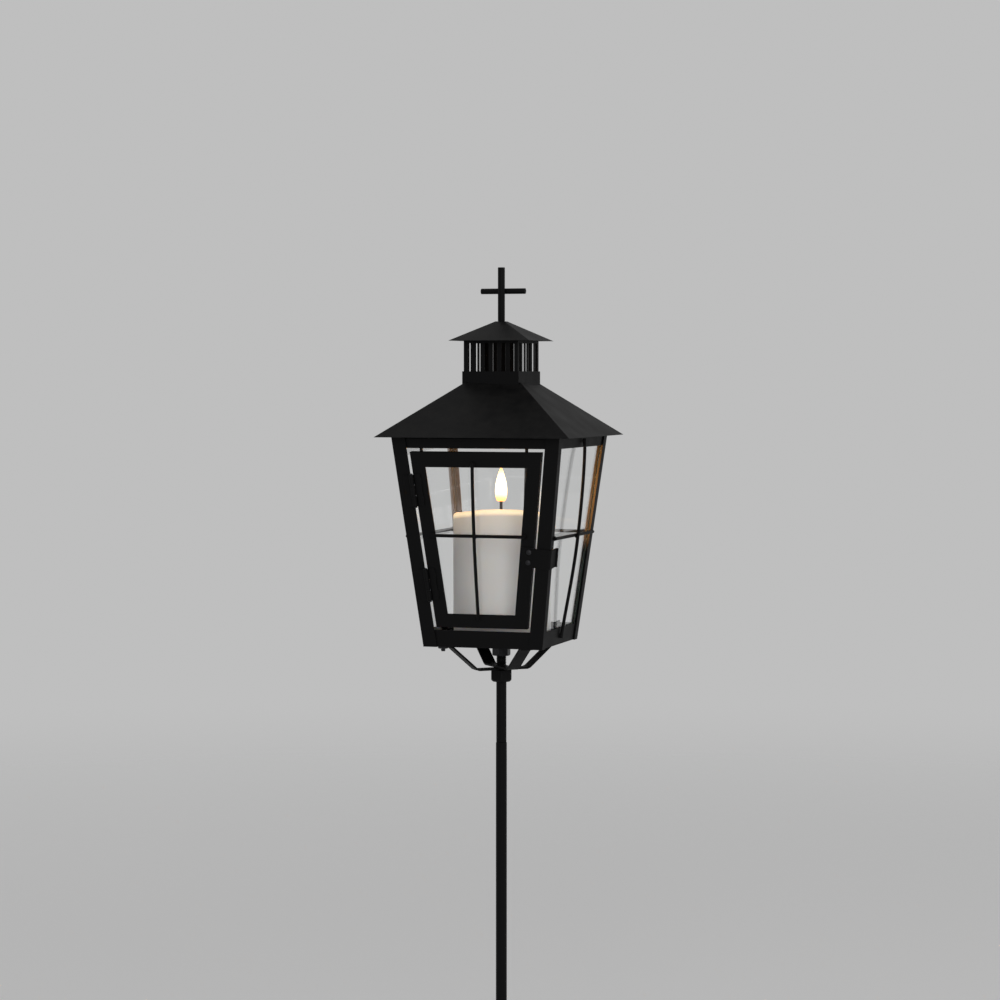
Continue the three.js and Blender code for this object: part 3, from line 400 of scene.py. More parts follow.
class Nodes:
    """Short ways to add nodes to a tree."""

    def __init__(self, tree):
        self.tree = tree

    def add_inputs(self, inputs):
        kinds = {float: "NodeSocketFloat", int: "NodeSocketInt", tuple: "NodeSocketVector"}
        for label, value in inputs.items():
            socket = self.tree.interface.new_socket(label, in_out="INPUT", socket_type=kinds[type(value)])
            socket.default_value = value

    def feed(self, target, value):
        """Links a socket to another, or sets its value."""
        if isinstance(value, bpy.types.NodeSocket):
            self.tree.links.new(value, target)
        elif target.type == "RGBA" and len(value) == 3:
            target.default_value = (*value, 1.0)
        else:
            target.default_value = value

    def add(self, kind, inputs=(), **values):
        """Adds a node and gives its outputs."""
        node = with_values(self.tree.nodes.new(kind), **values)
        for label, value in dict(inputs).items():
            self.feed(node.inputs[label], value)
        return node.outputs

    def math(self, operation, first, second=0.0):
        return self.add("ShaderNodeMath", {0: first, 1: second}, operation=operation)[0]

    def product(self, first, second):
        return self.math("MULTIPLY", first, second)


class Tree(Nodes):
    """A Geometry Nodes tree with named inputs that takes a mesh and gives a mesh."""

    def __init__(self, name, **inputs):
        super().__init__(bpy.data.node_groups.new(name, "GeometryNodeTree"))
        face = self.tree.interface
        for way in ("OUTPUT", "INPUT"):
            face.new_socket("Geometry", in_out=way, socket_type="NodeSocketGeometry")
        self.add_inputs(inputs)
        face.new_socket("Material", in_out="INPUT", socket_type="NodeSocketMaterial")
        self.given = self.add("NodeGroupInput")

    def end(self, kind, inputs):
        """Adds the last node and gives its real shape the material."""
        geometry = self.add(kind, inputs)[0]
        real = self.add("GeometryNodeRealizeInstances", {0: geometry})[0]
        finish = self.add("GeometryNodeSetMaterial", {0: real, "Material": self.given["Material"]})
        self.add("NodeGroupOutput", {0: finish[0]})
        return self.tree


class Shades(Nodes):
    """Short ways to add the shader nodes that a finish is made of."""

    def span(self, value, low, high, to_low=0.0, to_high=1.0, shape="LINEAR"):
        """Maps a range of values to another one, clamped."""
        return self.add("ShaderNodeMapRange", {
            "Value": value, "From Min": low, "From Max": high, "To Min": to_low, "To Max": to_high,
        }, interpolation_type=shape)[0]

    def blend(self, share, first, second):
        return self.add("ShaderNodeMix", {0: share, 6: first, 7: second}, data_type="RGBA")[2]

    def place(self):
        return self.add("ShaderNodeTexCoord")["Object"]

    def height(self, where):
        return self.add("ShaderNodeSeparateXYZ", {0: where})["Z"]

    def noise(self, scale, detail=4.0, rough=0.55, where=None):
        return self.add("ShaderNodeTexNoise", {
            "Vector": where or self.place(), "Scale": scale, "Detail": detail, "Roughness": rough,
        })[0]

    def bump(self, height, strength, distance):
        values = {"Strength": strength, "Distance": distance, "Height": height}
        return self.add("ShaderNodeBump", values)[0]


class Finish(Shades):
    """A material round one Principled shader."""

    def __init__(self, name, **values):
        self.material = bpy.data.materials.new(name)
        self.material.use_nodes = True
        super().__init__(self.material.node_tree)
        self.shader = self.tree.nodes["Principled BSDF"]
        self.set(**values)

    def set(self, **values):
        for label, value in values.items():
            self.feed(self.shader.inputs[label.replace("_", " ")], value)
        return self.material

    def group(self, maker, **inputs):
        return self.add("ShaderNodeGroup", inputs, node_tree=once(maker))


class Effect(Shades):
    """A shader node group with named inputs and outputs."""

    def __init__(self, name, outputs, **inputs):
        super().__init__(bpy.data.node_groups.new(name, "ShaderNodeTree"))
        self.add_inputs(inputs)
        for label in outputs:
            self.tree.interface.new_socket(label, in_out="OUTPUT", socket_type="NodeSocketFloat")
        self.given = self.tree.nodes.new("NodeGroupInput").outputs
        self.outputs = self.tree.nodes.new("NodeGroupOutput").inputs

    def give(self, **outputs):
        for label, socket in outputs.items():
            self.tree.links.new(socket, self.outputs[label])
        return self.tree


# Geometry Nodes


def wire_tree():
    """Round wires along paths, with rounded ends."""
    tree = Tree("Glazing wires", Radius=1.3 * MM, Tip=0.5 * MM, Sides=24)
    add, given = tree.add, tree.given
    end_share = 0.6
    curve = add("GeometryNodeMeshToCurve", {0: given["Geometry"]})[0]
    along = add("GeometryNodeSplineParameter")["Length"]
    whole = add("GeometryNodeSplineLength")["Length"]
    near = tree.math("MINIMUM", along, tree.math("SUBTRACT", whole, along))
    share = tree.math("MINIMUM", tree.math("DIVIDE", near, given["Tip"]), 1.0)
    left = tree.math("SUBTRACT", 1.0, share)
    fullness = tree.math("SQRT", tree.math("SUBTRACT", 1.0, tree.product(left, left)))
    scale = tree.math("ADD", tree.product(fullness, 1.0 - end_share), end_share)
    round_section = {"Resolution": given["Sides"], "Radius": given["Radius"]}
    section = add("GeometryNodeCurvePrimitiveCircle", round_section)[0]
    return tree.end("GeometryNodeCurveToMesh", {
        "Curve": curve, "Profile Curve": section, "Scale": scale, "Fill Caps": True,
    })


def spot_tree():
    """Flattened drops on points, each facing the way that its point says."""
    tree = Tree("Weld spots", Size=(1.0, 1.0, 0.4), Radius=1.4 * MM, Spread=0.15, Seed=5)
    add, given = tree.add, tree.given
    drop = add("GeometryNodeMeshUVSphere", {"Segments": 20, "Rings": 10, "Radius": given["Radius"]})
    facing = add("GeometryNodeInputNamedAttribute", {"Name": "facing"}, data_type="FLOAT_VECTOR")
    turn = add("FunctionNodeAlignRotationToVector", {"Vector": facing["Attribute"]}, axis="Z")
    least = tree.math("SUBTRACT", 1.0, given["Spread"])
    most = tree.math("ADD", 1.0, given["Spread"])
    sway = add("FunctionNodeRandomValue", {2: least, 3: most, "Seed": given["Seed"]}, data_type="FLOAT")
    scale = add("ShaderNodeVectorMath", {0: given["Size"], "Scale": sway[1]}, operation="SCALE")
    return tree.end("GeometryNodeInstanceOnPoints", {
        "Points": given["Geometry"], "Instance": drop["Mesh"], "Rotation": turn[0],
        "Scale": scale[0],
    })


def bead_tree():
    """Rows of overlapping weld drops along paths."""
    tree = Tree("Weld beads", Radius=0.75 * MM, Spacing=0.7 * MM, Seed=3)
    add, given = tree.add, tree.given
    curve = add("GeometryNodeMeshToCurve", {0: given["Geometry"]})[0]
    points = add("GeometryNodeCurveToPoints", {"Curve": curve, "Length": given["Spacing"]}, mode="LENGTH")
    drop = add("GeometryNodeMeshIcoSphere", {"Radius": given["Radius"], "Subdivisions": 3})
    sway = add("FunctionNodeRandomValue", {2: 0.8, 3: 1.12, "Seed": given["Seed"]}, data_type="FLOAT")
    return tree.end("GeometryNodeInstanceOnPoints", {
        "Points": points["Points"], "Instance": drop["Mesh"], "Scale": sway[1],
    })


def thread_tree():
    """The ridge of a screw thread round the Z axis."""
    tree = Tree("Screw thread", Radius=3.5 * MM, Pitch=1.25 * MM, Turns=6.0)
    add, given = tree.add, tree.given
    spiral = add("GeometryNodeCurveSpiral", {
        "Resolution": 40, "Rotations": given["Turns"], "Start Radius": given["Radius"],
        "End Radius": given["Radius"], "Height": tree.product(given["Pitch"], given["Turns"]),
    })
    depth = tree.product(given["Pitch"], THREAD_DEPTH)
    ridge = add("GeometryNodeCurvePrimitiveCircle", {"Resolution": 4, "Radius": depth})
    return tree.end("GeometryNodeCurveToMesh", {
        "Curve": spiral[0], "Profile Curve": ridge[0], "Fill Caps": True,
    })


def path_mesh(*paths):
    """A mesh of open paths of edges."""
    points, edges = [], []
    for path in paths:
        start = len(points)
        points += [tuple(point) for point in path]
        edges += [(start + i, start + i + 1) for i in range(len(path) - 1)]
    mesh = bpy.data.meshes.new("paths")
    mesh.from_pydata(points, edges, [])
    return mesh


def spot_mesh(spots):
    """A mesh of loose points, each with the direction that its spot faces."""
    mesh = bpy.data.meshes.new("spots")
    mesh.from_pydata([tuple(point) for point, _ in spots], [], [])
    facing = mesh.attributes.new("facing", "FLOAT_VECTOR", "POINT")
    facing.data.foreach_set("vector", [value for _, direction in spots for value in direction])
    return mesh


def grown(name, maker, tree_maker, mesh, body, nodes=(), sharp=80, place=Matrix(), **values):
    """A piece that a tree makes from a mesh and its named inputs, as a plain mesh in its place."""
    tree = once(tree_maker)
    values["Material"] = once(maker)
    seed = new_object(name + "_seed", mesh)
    modifier = seed.modifiers.new(tree.name, "NODES")
    modifier.node_group = tree
    for item in tree.interface.items_tree:
        if item.in_out == "INPUT" and item.name in values:
            modifier[item.identifier] = values[item.name]
    evaluated = seed.evaluated_get(bpy.context.evaluated_depsgraph_get())
    made = bpy.data.meshes.new_from_object(evaluated)
    seed.modifiers.remove(modifier)
    bpy.data.objects.remove(seed)
    made.name = name
    made.transform(place)
    return finish_piece(new_object(name, made), maker, nodes, body, sharp)


def thread(name, maker, core, pitch, low, high, place=Matrix()):
    """The ridge of a thread round a core, between two heights."""
    grown(
        name, maker, thread_tree, path_mesh([Vector(), Vector()]), "lantern", sharp=30,
        place=place @ Matrix.Translation((0, 0, low)), Radius=core, Pitch=pitch, Turns=(high - low) / pitch,
    )


# Materials


def edge_wear_effect():
    """A mask of the outer edges, broken up by noise."""
    effect = Effect("Edge wear", ["Mask"], Reach=0.5 * MM, Amount=0.6, Grain=260.0)
    bevel = effect.add("ShaderNodeBevel", {"Radius": effect.given["Reach"]}, samples=6)[0]
    plain = effect.add("ShaderNodeNewGeometry")["Normal"]
    same = effect.add("ShaderNodeVectorMath", {0: bevel, 1: plain}, operation="DOT_PRODUCT")
    edge = effect.product(effect.math("SUBTRACT", 1.0, same["Value"]), 5.0)
    broken = effect.span(effect.noise(effect.given["Grain"], 5.0, 0.65), 0.42, 0.66)
    mask = effect.product(effect.product(edge, broken), effect.given["Amount"])
    return effect.give(Mask=effect.add("ShaderNodeClamp", {0: mask})[0])


def dust_effect():
    """A mask of fine dust that lies on faces that look up."""
    effect = Effect("Settled dust", ["Mask"], Amount=0.4, Grain=90.0)
    normal = effect.add("ShaderNodeNewGeometry")["Normal"]
    up = effect.span(effect.height(normal), 0.1, 1.0)
    cloud = effect.span(effect.noise(effect.given["Grain"], 8.0, 0.7), 0.38, 0.72)
    return effect.give(Mask=effect.product(effect.product(up, cloud), effect.given["Amount"]))


def grain_effect():
    """Fine orange peel of a sprayed coat: a height and a value that vary over the surface."""
    effect = Effect("Coat grain", ["Height", "Value"], Peel=1400.0, Cloud=45.0)
    height = effect.noise(effect.given["Peel"], 3.0, 0.5)
    return effect.give(Height=height, Value=effect.noise(effect.given["Cloud"], 6.0, 0.6))


def scaled(shade, factor):
    return tuple(min(1.0, factor * value) for value in shade)


def powder_coat():
    look = Finish("Black powder coat", Specular_IOR_Level=0.09)
    grain = look.group(grain_effect)
    wear = look.group(edge_wear_effect, Amount=0.5)["Mask"]
    dust = look.group(dust_effect, Amount=0.08)["Mask"]
    coat = colours().coat
    shade = look.blend(grain["Value"], scaled(coat, 0.75), scaled(coat, 1.3))
    shade = look.blend(wear, shade, colours().coat_wear)
    shade = look.blend(dust, shade, (0.12, 0.115, 0.105))
    return look.set(
        Base_Color=shade, Roughness=look.span(grain["Value"], 0.3, 0.7, 0.5, 0.62),
        Normal=look.bump(grain["Height"], 0.22, 0.02 * MM),
    )


def black_zinc():
    look = Finish("Black zinc", Metallic=0.8)
    grain = look.group(grain_effect, Peel=2400.0, Cloud=160.0)
    wear = look.group(edge_wear_effect, Amount=0.8, Reach=0.35 * MM)["Mask"]
    zinc = colours().zinc
    shade = look.blend(grain["Value"], scaled(zinc, 0.7), scaled(zinc, 1.6))
    return look.set(
        Base_Color=look.blend(wear, shade, scaled(zinc, 5.0)),
        Roughness=look.span(grain["Value"], 0.0, 1.0, 0.28, 0.5),
        Normal=look.bump(grain["Height"], 0.15, 0.02 * MM),
    )


def clear_glass():
    """Float glass with a faint drawn waviness and a little dust."""
    look = Finish("Clear glass", Base_Color=colours().glass, IOR=1.45, Transmission_Weight=1.0)
    where = look.place()
    waves = look.noise(14.0, 1.0, 0.5, where)
    specks = look.noise(420.0, 6.0, 0.75, where)
    return look.set(
        Roughness=look.span(specks, 0.62, 0.8, 0.0, 0.2), Normal=look.bump(waves, 0.05, 0.3 * MM),
    )


def ground_edge():
    """The matt grey-green edge of a cut pane."""
    look = Finish("Ground glass edge", Specular_IOR_Level=0.3)
    grit = look.noise(900.0, 5.0, 0.7)
    return look.set(
        Base_Color=look.blend(grit, (0.035, 0.05, 0.043), (0.1, 0.13, 0.115)),
        Roughness=look.span(grit, 0.2, 0.8, 0.5, 0.75), Normal=look.bump(grit, 0.3, 0.04 * MM),
    )


def ivory_wax():
    """Cast wax with a painted glow: emission paints the flame's light in a bright band below the rim and
    faintly down the upper sides; the mesh says how far each place lies below its rim.
    """
    look = Finish(
        "Ivory wax", Subsurface_Weight=0.3, Subsurface_Radius=(1.0, 0.6, 0.34), Subsurface_Scale=2.5 * MM,
        IOR=1.44, Specular_IOR_Level=0.35, Emission_Strength=1.0,
    )
    where = look.place()
    cloud = look.noise(38.0, 6.0, 0.6, where)
    fine = look.noise(700.0, 4.0, 0.5, where)
    below = look.add("ShaderNodeAttribute", attribute_name="below_rim")["Fac"]
    shade = look.blend(cloud, scaled(colours().wax, 0.95), scaled(colours().wax, 1.05))
    # Painted glow: faint emission of the flame's light from the rim down to 30 mm below it
    soft = look.span(below, 0.0, 30.0, 0.15, 0.0, "SMOOTHERSTEP")
    # Painted glow: a bright band of the flame's light in the top few millimetres below the rim
    rim = look.span(below, 1.5, 5.5, 0.72, 0.0, "SMOOTHSTEP")
    # Strength of the painted glow, made uneven by the wax's clouds
    glow = look.product(look.math("ADD", soft, rim), look.span(cloud, 0.2, 0.8, 0.8, 1.15))
    return look.set(
        Base_Color=shade, Emission_Color=look.blend(glow, (0, 0, 0), colours().wax_glow),
        Roughness=look.span(cloud, 0.0, 1.0, 0.42, 0.6), Normal=look.bump(fine, 0.18, 0.08 * MM),
    )


def lit_flame():
    """Frosted tip with an orange foot, a pale middle and an orange point."""
    look = Finish("Lit flame", Base_Color=(1.0, 0.8, 0.5), Roughness=0.5, Emission_Strength=3.0)
    share = look.span(look.height(look.place()), FLAME_Z, FLAME_Z + FLAME_LENGTH)
    ramp = look.tree.nodes.new("ShaderNodeValToRGB")
    look.feed(ramp.inputs[0], share)
    stops = {
        0.0: (0.55, 0.12, 0.015), 0.1: (0.95, 0.36, 0.08), 0.24: (1.0, 0.72, 0.36), 0.45: (1.0, 0.86, 0.62),
        0.72: (1.0, 0.74, 0.4), 0.9: (1.0, 0.5, 0.16), 1.0: (0.8, 0.26, 0.05),
    }
    elements = ramp.color_ramp.elements
    while len(elements) < len(stops):
        elements.new(0.5)
    for element, (place, shade) in zip(elements, stops.items()):
        element.position = place
        element.color = (*shade, 1.0)
    return look.set(Emission_Color=ramp.outputs[0])


def moulded(name, shade, rough):
    """Moulded plastic with a fine grain."""
    look = Finish(name, Specular_IOR_Level=0.4)
    grain = look.group(grain_effect, Peel=2200.0, Cloud=120.0)
    return look.set(
        Base_Color=look.blend(grain["Value"], scaled(shade, 0.85), scaled(shade, 1.12)),
        Roughness=look.span(grain["Value"], 0.0, 1.0, rough - 0.08, rough + 0.08),
        Normal=look.bump(grain["Height"], 0.15, 0.02 * MM),
    )


def ivory_plastic():
    return moulded("Ivory plastic", (0.62, 0.58, 0.5), 0.5)


def dark_plastic():
    return moulded("Dark plastic", (0.014, 0.012, 0.01), 0.6)


def battery_sleeve():
    """Steel sleeve in two plain colours."""
    low, high = heights("battery_left")
    look = Finish("Battery sleeve", Metallic=0.4)
    where = look.place()
    height = look.height(where)
    edge = low + 0.7 * (high - low)
    band = look.span(height, edge, edge + 0.3 * MM)
    scuffs = look.noise(300.0, 4.0, 0.6, where)
    return look.set(
        Base_Color=look.blend(band, (0.03, 0.03, 0.035), (0.45, 0.3, 0.12)),
        Roughness=look.span(scuffs, 0.0, 1.0, 0.25, 0.4),
    )


def solder_mask():
    """Green lacquer with a scatter of tinned pads."""
    look = Finish("Solder mask", Roughness=0.4)
    cells = look.add("ShaderNodeTexVoronoi", {"Vector": look.place(), "Scale": 380.0})["Distance"]
    pads = look.span(cells, 0.16, 0.2, 1.0, 0.0)
    return look.set(Base_Color=look.blend(pads, (0.01, 0.1, 0.04), (0.55, 0.55, 0.5)))


# Pieces


class LANTERN_OT_sheet_metal(bpy.types.Operator):
    """Rounds the edges of the posts, rails, chimney, bracket, door, hinge leaves and clips"""

    bl_idname = "lantern.sheet_metal"
    bl_label = "Sheet metal"

    def execute(self, context):
        plates = ["base_tray", "top_frame", "chimney_neck", "chimney_slotted_collar"]
        plates += ["door_frame", "latch_clip"]
        plates += [node for node in NODES if node.startswith(("post_", "bracket_", "pane_clip_"))]
        plates += [node for node in NODES if node.startswith("hinge_") and node.endswith("_leaf")]
        for node in plates:
            softened(node, powder_coat)
        return {"FINISHED"}


def draw_in_top(bm):
    """Draws the corners of the cap's flat top in towards the cross."""
    top = max(vertex.co.z for vertex in bm.verts)
    for vertex in bm.verts:
        if top - vertex.co.z < 0.01 * MM and vertex.co.xy.length > CROSS_R:
            vertex.co.xy = vertex.co.xy * CAP_TOP_SHARE


class LANTERN_OT_roofs(bpy.types.Operator):
    """Folds the hips of the roof and of the chimney's cap"""

    bl_idname = "lantern.roofs"
    bl_label = "Roofs"

    def execute(self, context):
        for node, shape in (("roof", None), ("cap_roof", draw_in_top)):
            softened(node, powder_coat, sizes().hip_radius, 3, shape)
        return {"FINISHED"}


def upright_path(low, high, end_depth, level, shift=0.0):
    """Points of an upright wire that bows outwards over the level wire."""
    radius = sizes().wire_diameter / 2
    crossing = -(3 * radius + 2 * WIRE_GAP)
    middle, start, stop = slope(level), slope(low), slope(high)
    steps = 120
    points = []
    for i in range(steps + 1):
        up = start + (stop - start) * i / steps
        end, fullness = (start, 1.3) if up < middle else (stop, 0.55)
        share = max(math.cos((up - middle) / (end - middle) * math.pi / 2), 0) ** fullness
        points.append(Vector((shift, end_depth + (crossing - end_depth) * share, up)))
    return points


def with_tips(path):
    """The path with extra points near its ends, where a wire is rounded."""
    reach = 0.6 * MM
    ends = []
    for first, second in ((path[0], path[1]), (path[-1], path[-2])):
        along = (second - first).normalized()
        ends.append([first + along * reach * share for share in (0.0, 0.06, 0.2, 0.42, 0.7, 1.0)])
    return ends[0] + path[1:-1] + ends[1][::-1]


def face_wires(side):
    """Paths of a face's level and upright wire, and the spots where they are welded on."""
    radius = sizes().wire_diameter / 2
    depth = -radius - WIRE_GAP
    if side == "front":
        level, shift = WIRE_LEVEL, DOOR_WIRE_SHIFT
        reach = half_at(slope(level)) - DOOR_EDGE - STILE + WIRE_LAP
        upright = upright_path(DOOR_WINDOW[0] - WIRE_LAP, DOOR_WINDOW[1] + WIRE_LAP, depth, level, shift)
    else:
        level, shift = SIDE_WIRE_LEVEL, 0.0
        reach = half_at(slope(level)) - SIDE_WIRE_IN
        upright = upright_path(*SIDE_WIRE_ENDS, RAIL_DEPTH + depth, level)
    steps = 60
    up = slope(level)
    across = [Vector((reach * (2 * i / steps - 1), depth, up)) for i in range(steps + 1)]
    inset = 1.8 * MM
    sunk = radius * 0.75
    spots = [Vector((sign * (reach - inset), depth + sunk, up)) for sign in (-1, 1)]
    for end, step in ((0, 1), (-1, -1)):
        along = (upright[end + step] - upright[end]).normalized()
        spots.append(upright[end] + along * inset + Vector((0, sunk, 0)))
    spots.append(Vector((shift, depth - radius * 0.9, up)))
    place = face_place(side)
    facing = place.to_3x3() @ Vector((0, 1, 0))
    paths = [[place @ point for point in with_tips(path)] for path in (across, upright)]
    return paths, [(place @ spot, facing) for spot in spots]


class LANTERN_OT_wires(bpy.types.Operator):
    """Lays the glazing wires over the panes and welds them on"""

    bl_idname = "lantern.wires"
    bl_label = "Glazing wires"

    def execute(self, context):
        radius = sizes().wire_diameter / 2
        welds = {"door": [], "lantern": []}
        for side in SIDES:
            nodes = [f"wire_level_{side}", f"wire_upright_{side}"]
            if side == "front":
                nodes = ["door_wire_level", "door_wire_upright"]
            paths, places = face_wires(side)
            body = BODY_OF[nodes[0]]
            name = f"glazing_wires_{side}"
            grown(name, powder_coat, wire_tree, path_mesh(*paths), body, nodes, 35, Radius=radius)
            welds[body] += places
        for body, places in welds.items():
            grown(
                f"wire_welds_{body}", powder_coat, spot_tree, spot_mesh(places), body,
                Radius=radius, Spread=0.12, Size=(1.5, 1.5, 0.55),
            )
        return {"FINISHED"}


class LANTERN_OT_hinges(bpy.types.Operator):
    """Puts domed pins in the hinges and tacks their leaves to the post and the door"""

    bl_idname = "lantern.hinges"
    bl_label = "Hinges"

    def execute(self, context):
        end = HINGE_LENGTH / 2 + SEAT
        dome = [(1.5, 0.0), (1.5, 0.12), (1.25, 0.42), (0.7, 0.68), (0, 0.75)]
        head = [(r * MM, end + z * MM) for r, z in dome]
        foot = [(r, -z) for r, z in reversed(head)]
        profile = foot + [(PIN_R, -end), (PIN_R, end)] + head
        beads = {"lantern": [], "door": []}
        for name, height in HINGE_HEIGHTS.items():
            place = hinge_place(height)
            turned(f"hinge_pin_{name}", f"hinge_{name}_pin", black_zinc, profile, place, 32)
            for body, x in (("lantern", -LEAF_WIDTH), ("door", LEAF_WIDTH)):
                for ends in ((-9 * MM, -5 * MM), (5 * MM, 9 * MM)):
                    beads[body].append([place @ Vector((x, BARREL_R - 0.1 * MM, z)) for z in ends])
        for body, paths in beads.items():
            grown(
                f"leaf_welds_{body}", powder_coat, bead_tree, path_mesh(*paths), body,
                Radius=0.55 * MM, Spacing=0.6 * MM,
            )
        return {"FINISHED"}


class LANTERN_OT_rivets(bpy.types.Operator):
    """Sets the two domed rivets of the spring clip"""

    bl_idname = "lantern.rivets"
    bl_label = "Clip rivets"

    def execute(self, context):
        shank, tail, head = 1.1 * MM, 1.5 * MM, 2 * MM
        inside, outside = -1.1 * MM, 1.2 * MM
        dome = [(2.0, 0.05), (1.75, 0.3), (1.3, 0.62), (0.7, 0.84), (0, 0.9)]
        profile = [
            (0, inside - 0.9 * MM), (tail * 0.7, inside - 0.85 * MM), (tail, inside - 0.5 * MM),
            (tail, inside), (shank, inside), (shank, outside), (head, outside),
        ]
        profile += [(r * MM, outside + z * MM) for r, z in dome]
        for name, (x, z) in RIVET_PLACES.items():
            place = clip_place() @ Matrix.Translation((x, 0, z)) @ Matrix.Rotation(math.pi / 2, 4, "X")
            turned(f"clip_rivet_{name}", f"latch_rivet_{name}", black_zinc, profile, place, 40)
        return {"FINISHED"}


class LANTERN_OT_nuts(bpy.types.Operator):
    """Makes the nuts, the washer and the screw through the floor"""

    bl_idname = "lantern.nuts"
    bl_label = "Nuts and floor screw"

    def execute(self, context):
        bore = STAKE_R + SEAT
        for node, flats, inner, turn, chamfers, maker in (
            ("floor_nut", 12.6, bore, 0, (0.8, 0.8), black_zinc),
            ("cross_nut", 7, 2.3 * MM, 0, (0.4, 0.4), black_zinc),
            ("tray_screw_nut", 7, 2.2 * MM, 0, (0.4, 0.4), black_zinc),
            ("stake_collar_nut", 15.6, bore, math.pi / 12, (2.2, 0.5), powder_coat),
        ):
            place = axis_place(node) @ Matrix.Rotation(turn, 4, "Z")
            chamfers = [c * MM for c in chamfers]
            nut = hex_nut(node + "_turned", flats * MM, inner, *heights(node), place, chamfers)
            finish_piece(nut, maker, [node], sharp=25)
        self.washer(bore)
        self.floor_screw()
        return {"FINISHED"}

    def washer(self, bore):
        low, high = heights("floor_washer")
        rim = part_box("floor_washer")[1][0]
        edge = 0.25 * MM
        section = [
            (bore + edge, low), (rim - edge, low), (rim, low + edge), (rim, high - edge),
            (rim - edge, high), (bore + edge, high), (bore, high - edge), (bore, low + edge),
        ]
        turned("floor_washer_turned", "floor_washer", black_zinc, section)

    def floor_screw(self):
        foot, top = heights("tray_screw")
        place = axis_place("tray_screw")
        core, shank, head = 1.55 * MM, 1.9 * MM, 2.6 * MM
        seat = CANDLE_Z
        nut_foot = BASE_Z - SCREW_NUT_FOOT
        profile = [
            (0, foot), (core - 0.3 * MM, foot), (core, foot + 0.3 * MM), (core, nut_foot),
            (shank, nut_foot), (shank, seat), (head, seat), (head, seat + 0.5 * MM),
            (2.3 * MM, seat + 0.95 * MM), (1.5 * MM, top - 0.08 * MM), (0, top),
        ]
        turned("tray_screw_turned", "tray_screw", black_zinc, profile, place, 40)
        low, high = foot + 0.4 * MM, nut_foot - 0.2 * MM
        thread("tray_screw_thread", black_zinc, core, SCREW_PITCH, low, high, place)


class LANTERN_OT_cross(bpy.types.Operator):
    """Makes the cross, a rounded upright with the arm welded behind it"""

    bl_idname = "lantern.cross"
    bl_label = "Cross"

    def execute(self, context):
        bottom, top = heights("cross_upright")
        foot = top - CROSS_FOOT
        profile = rounded([
            (0, bottom), (CROSS_SHANK_R, bottom), (CROSS_SHANK_R, foot), (CROSS_R, foot), (CROSS_R, top),
            (0, top),
        ], 0.45 * MM)
        turned("cross_upright_turned", "cross_upright", powder_coat, profile)
        first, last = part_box("cross_arm")
        reach = (last[0] - first[0]) / 2
        middle = [(a + b) / 2 for a, b in zip(first, last)]
        profile = rounded([(0, -reach), (CROSS_ARM_R, -reach), (CROSS_ARM_R, reach), (0, reach)], 0.4 * MM)
        place = Matrix.Translation(middle) @ Matrix.Rotation(math.pi / 2, 4, "Y")
        turned("cross_arm_turned", "cross_arm", powder_coat, profile, place)
        touch = middle[1] - CROSS_ARM_R + 0.35 * MM
        welds = path_mesh(*(
            [Vector((sign * 1.3 * MM, touch, middle[2] + z * MM)) for z in (-1.5, 1.5)] for sign in (-1, 1)
        ))
        grown("cross_welds", powder_coat, bead_tree, welds, "lantern", Radius=sizes().bead_radius)
        return {"FINISHED"}


class LANTERN_OT_stake(bpy.types.Operator):
    """Turns the two halves of the stake and cuts the thread of the upper one"""

    bl_idname = "lantern.stake"
    bl_label = "Ground stake"

    def execute(self, context):
        pitch = sizes().thread_pitch
        core = STAKE_R - THREAD_DEPTH * pitch
        foot, head = heights("stake_rod_upper")
        joint = BASE_Z - STAKE_JOINT
        thread_end = BASE_Z - THREAD_END
        edge = 0.3 * MM
        upper = [
            (0, foot), (SPIGOT_R - edge, foot), (SPIGOT_R, foot + edge), (SPIGOT_R, joint),
            (STAKE_R - edge, joint), (STAKE_R, joint + edge), (STAKE_R, thread_end),
            (core, thread_end + edge), (core, head - edge), (core - edge, head), (0, head),
        ]
        turned("stake_rod_turned", "stake_rod_upper", powder_coat, upper)
        thread("stake_thread", powder_coat, core, pitch, thread_end + pitch, head - pitch)
        point, top = heights("stake_spike_lower")
        socket = foot - SEAT
        lower = [
            (0, point), (0.45 * MM, point + 0.1 * MM), (0.8 * MM, point + 0.7 * MM),
            (SPIKE_R - 0.25 * MM, point + 30 * MM), (SPIKE_R, point + 34 * MM), (SPIKE_R, top - edge),
            (SPIKE_R - edge, top), (SPIGOT_R + SEAT, top), (SPIGOT_R + SEAT, socket), (0, socket),
        ]
        turned("stake_spike_turned", "stake_spike_lower", powder_coat, lower)
        return {"FINISHED"}


class LANTERN_OT_panes(bpy.types.Operator):
    """Gives the panes their ground edges and glass"""

    bl_idname = "lantern.panes"
    bl_label = "Panes"

    def execute(self, context):
        for node in ("glass_left", "glass_rear", "glass_right", "door_glass"):
            pane = softened(node, clear_glass, width=0.25 * MM, segments=1)
            pane.visible_shadow = False
            pane.data.materials.append(once(ground_edge))
            widest = max(polygon.area for polygon in pane.data.polygons)
            for polygon in pane.data.polygons:
                polygon.material_index = int(polygon.area < widest / 4)
        return {"FINISHED"}


def rim_lift(angle):
    """How far the wax stands up at an angle, towards its highest place."""
    return RIM_WAVE * max(math.cos(angle - RIM_HIGH), 0) ** 1.5


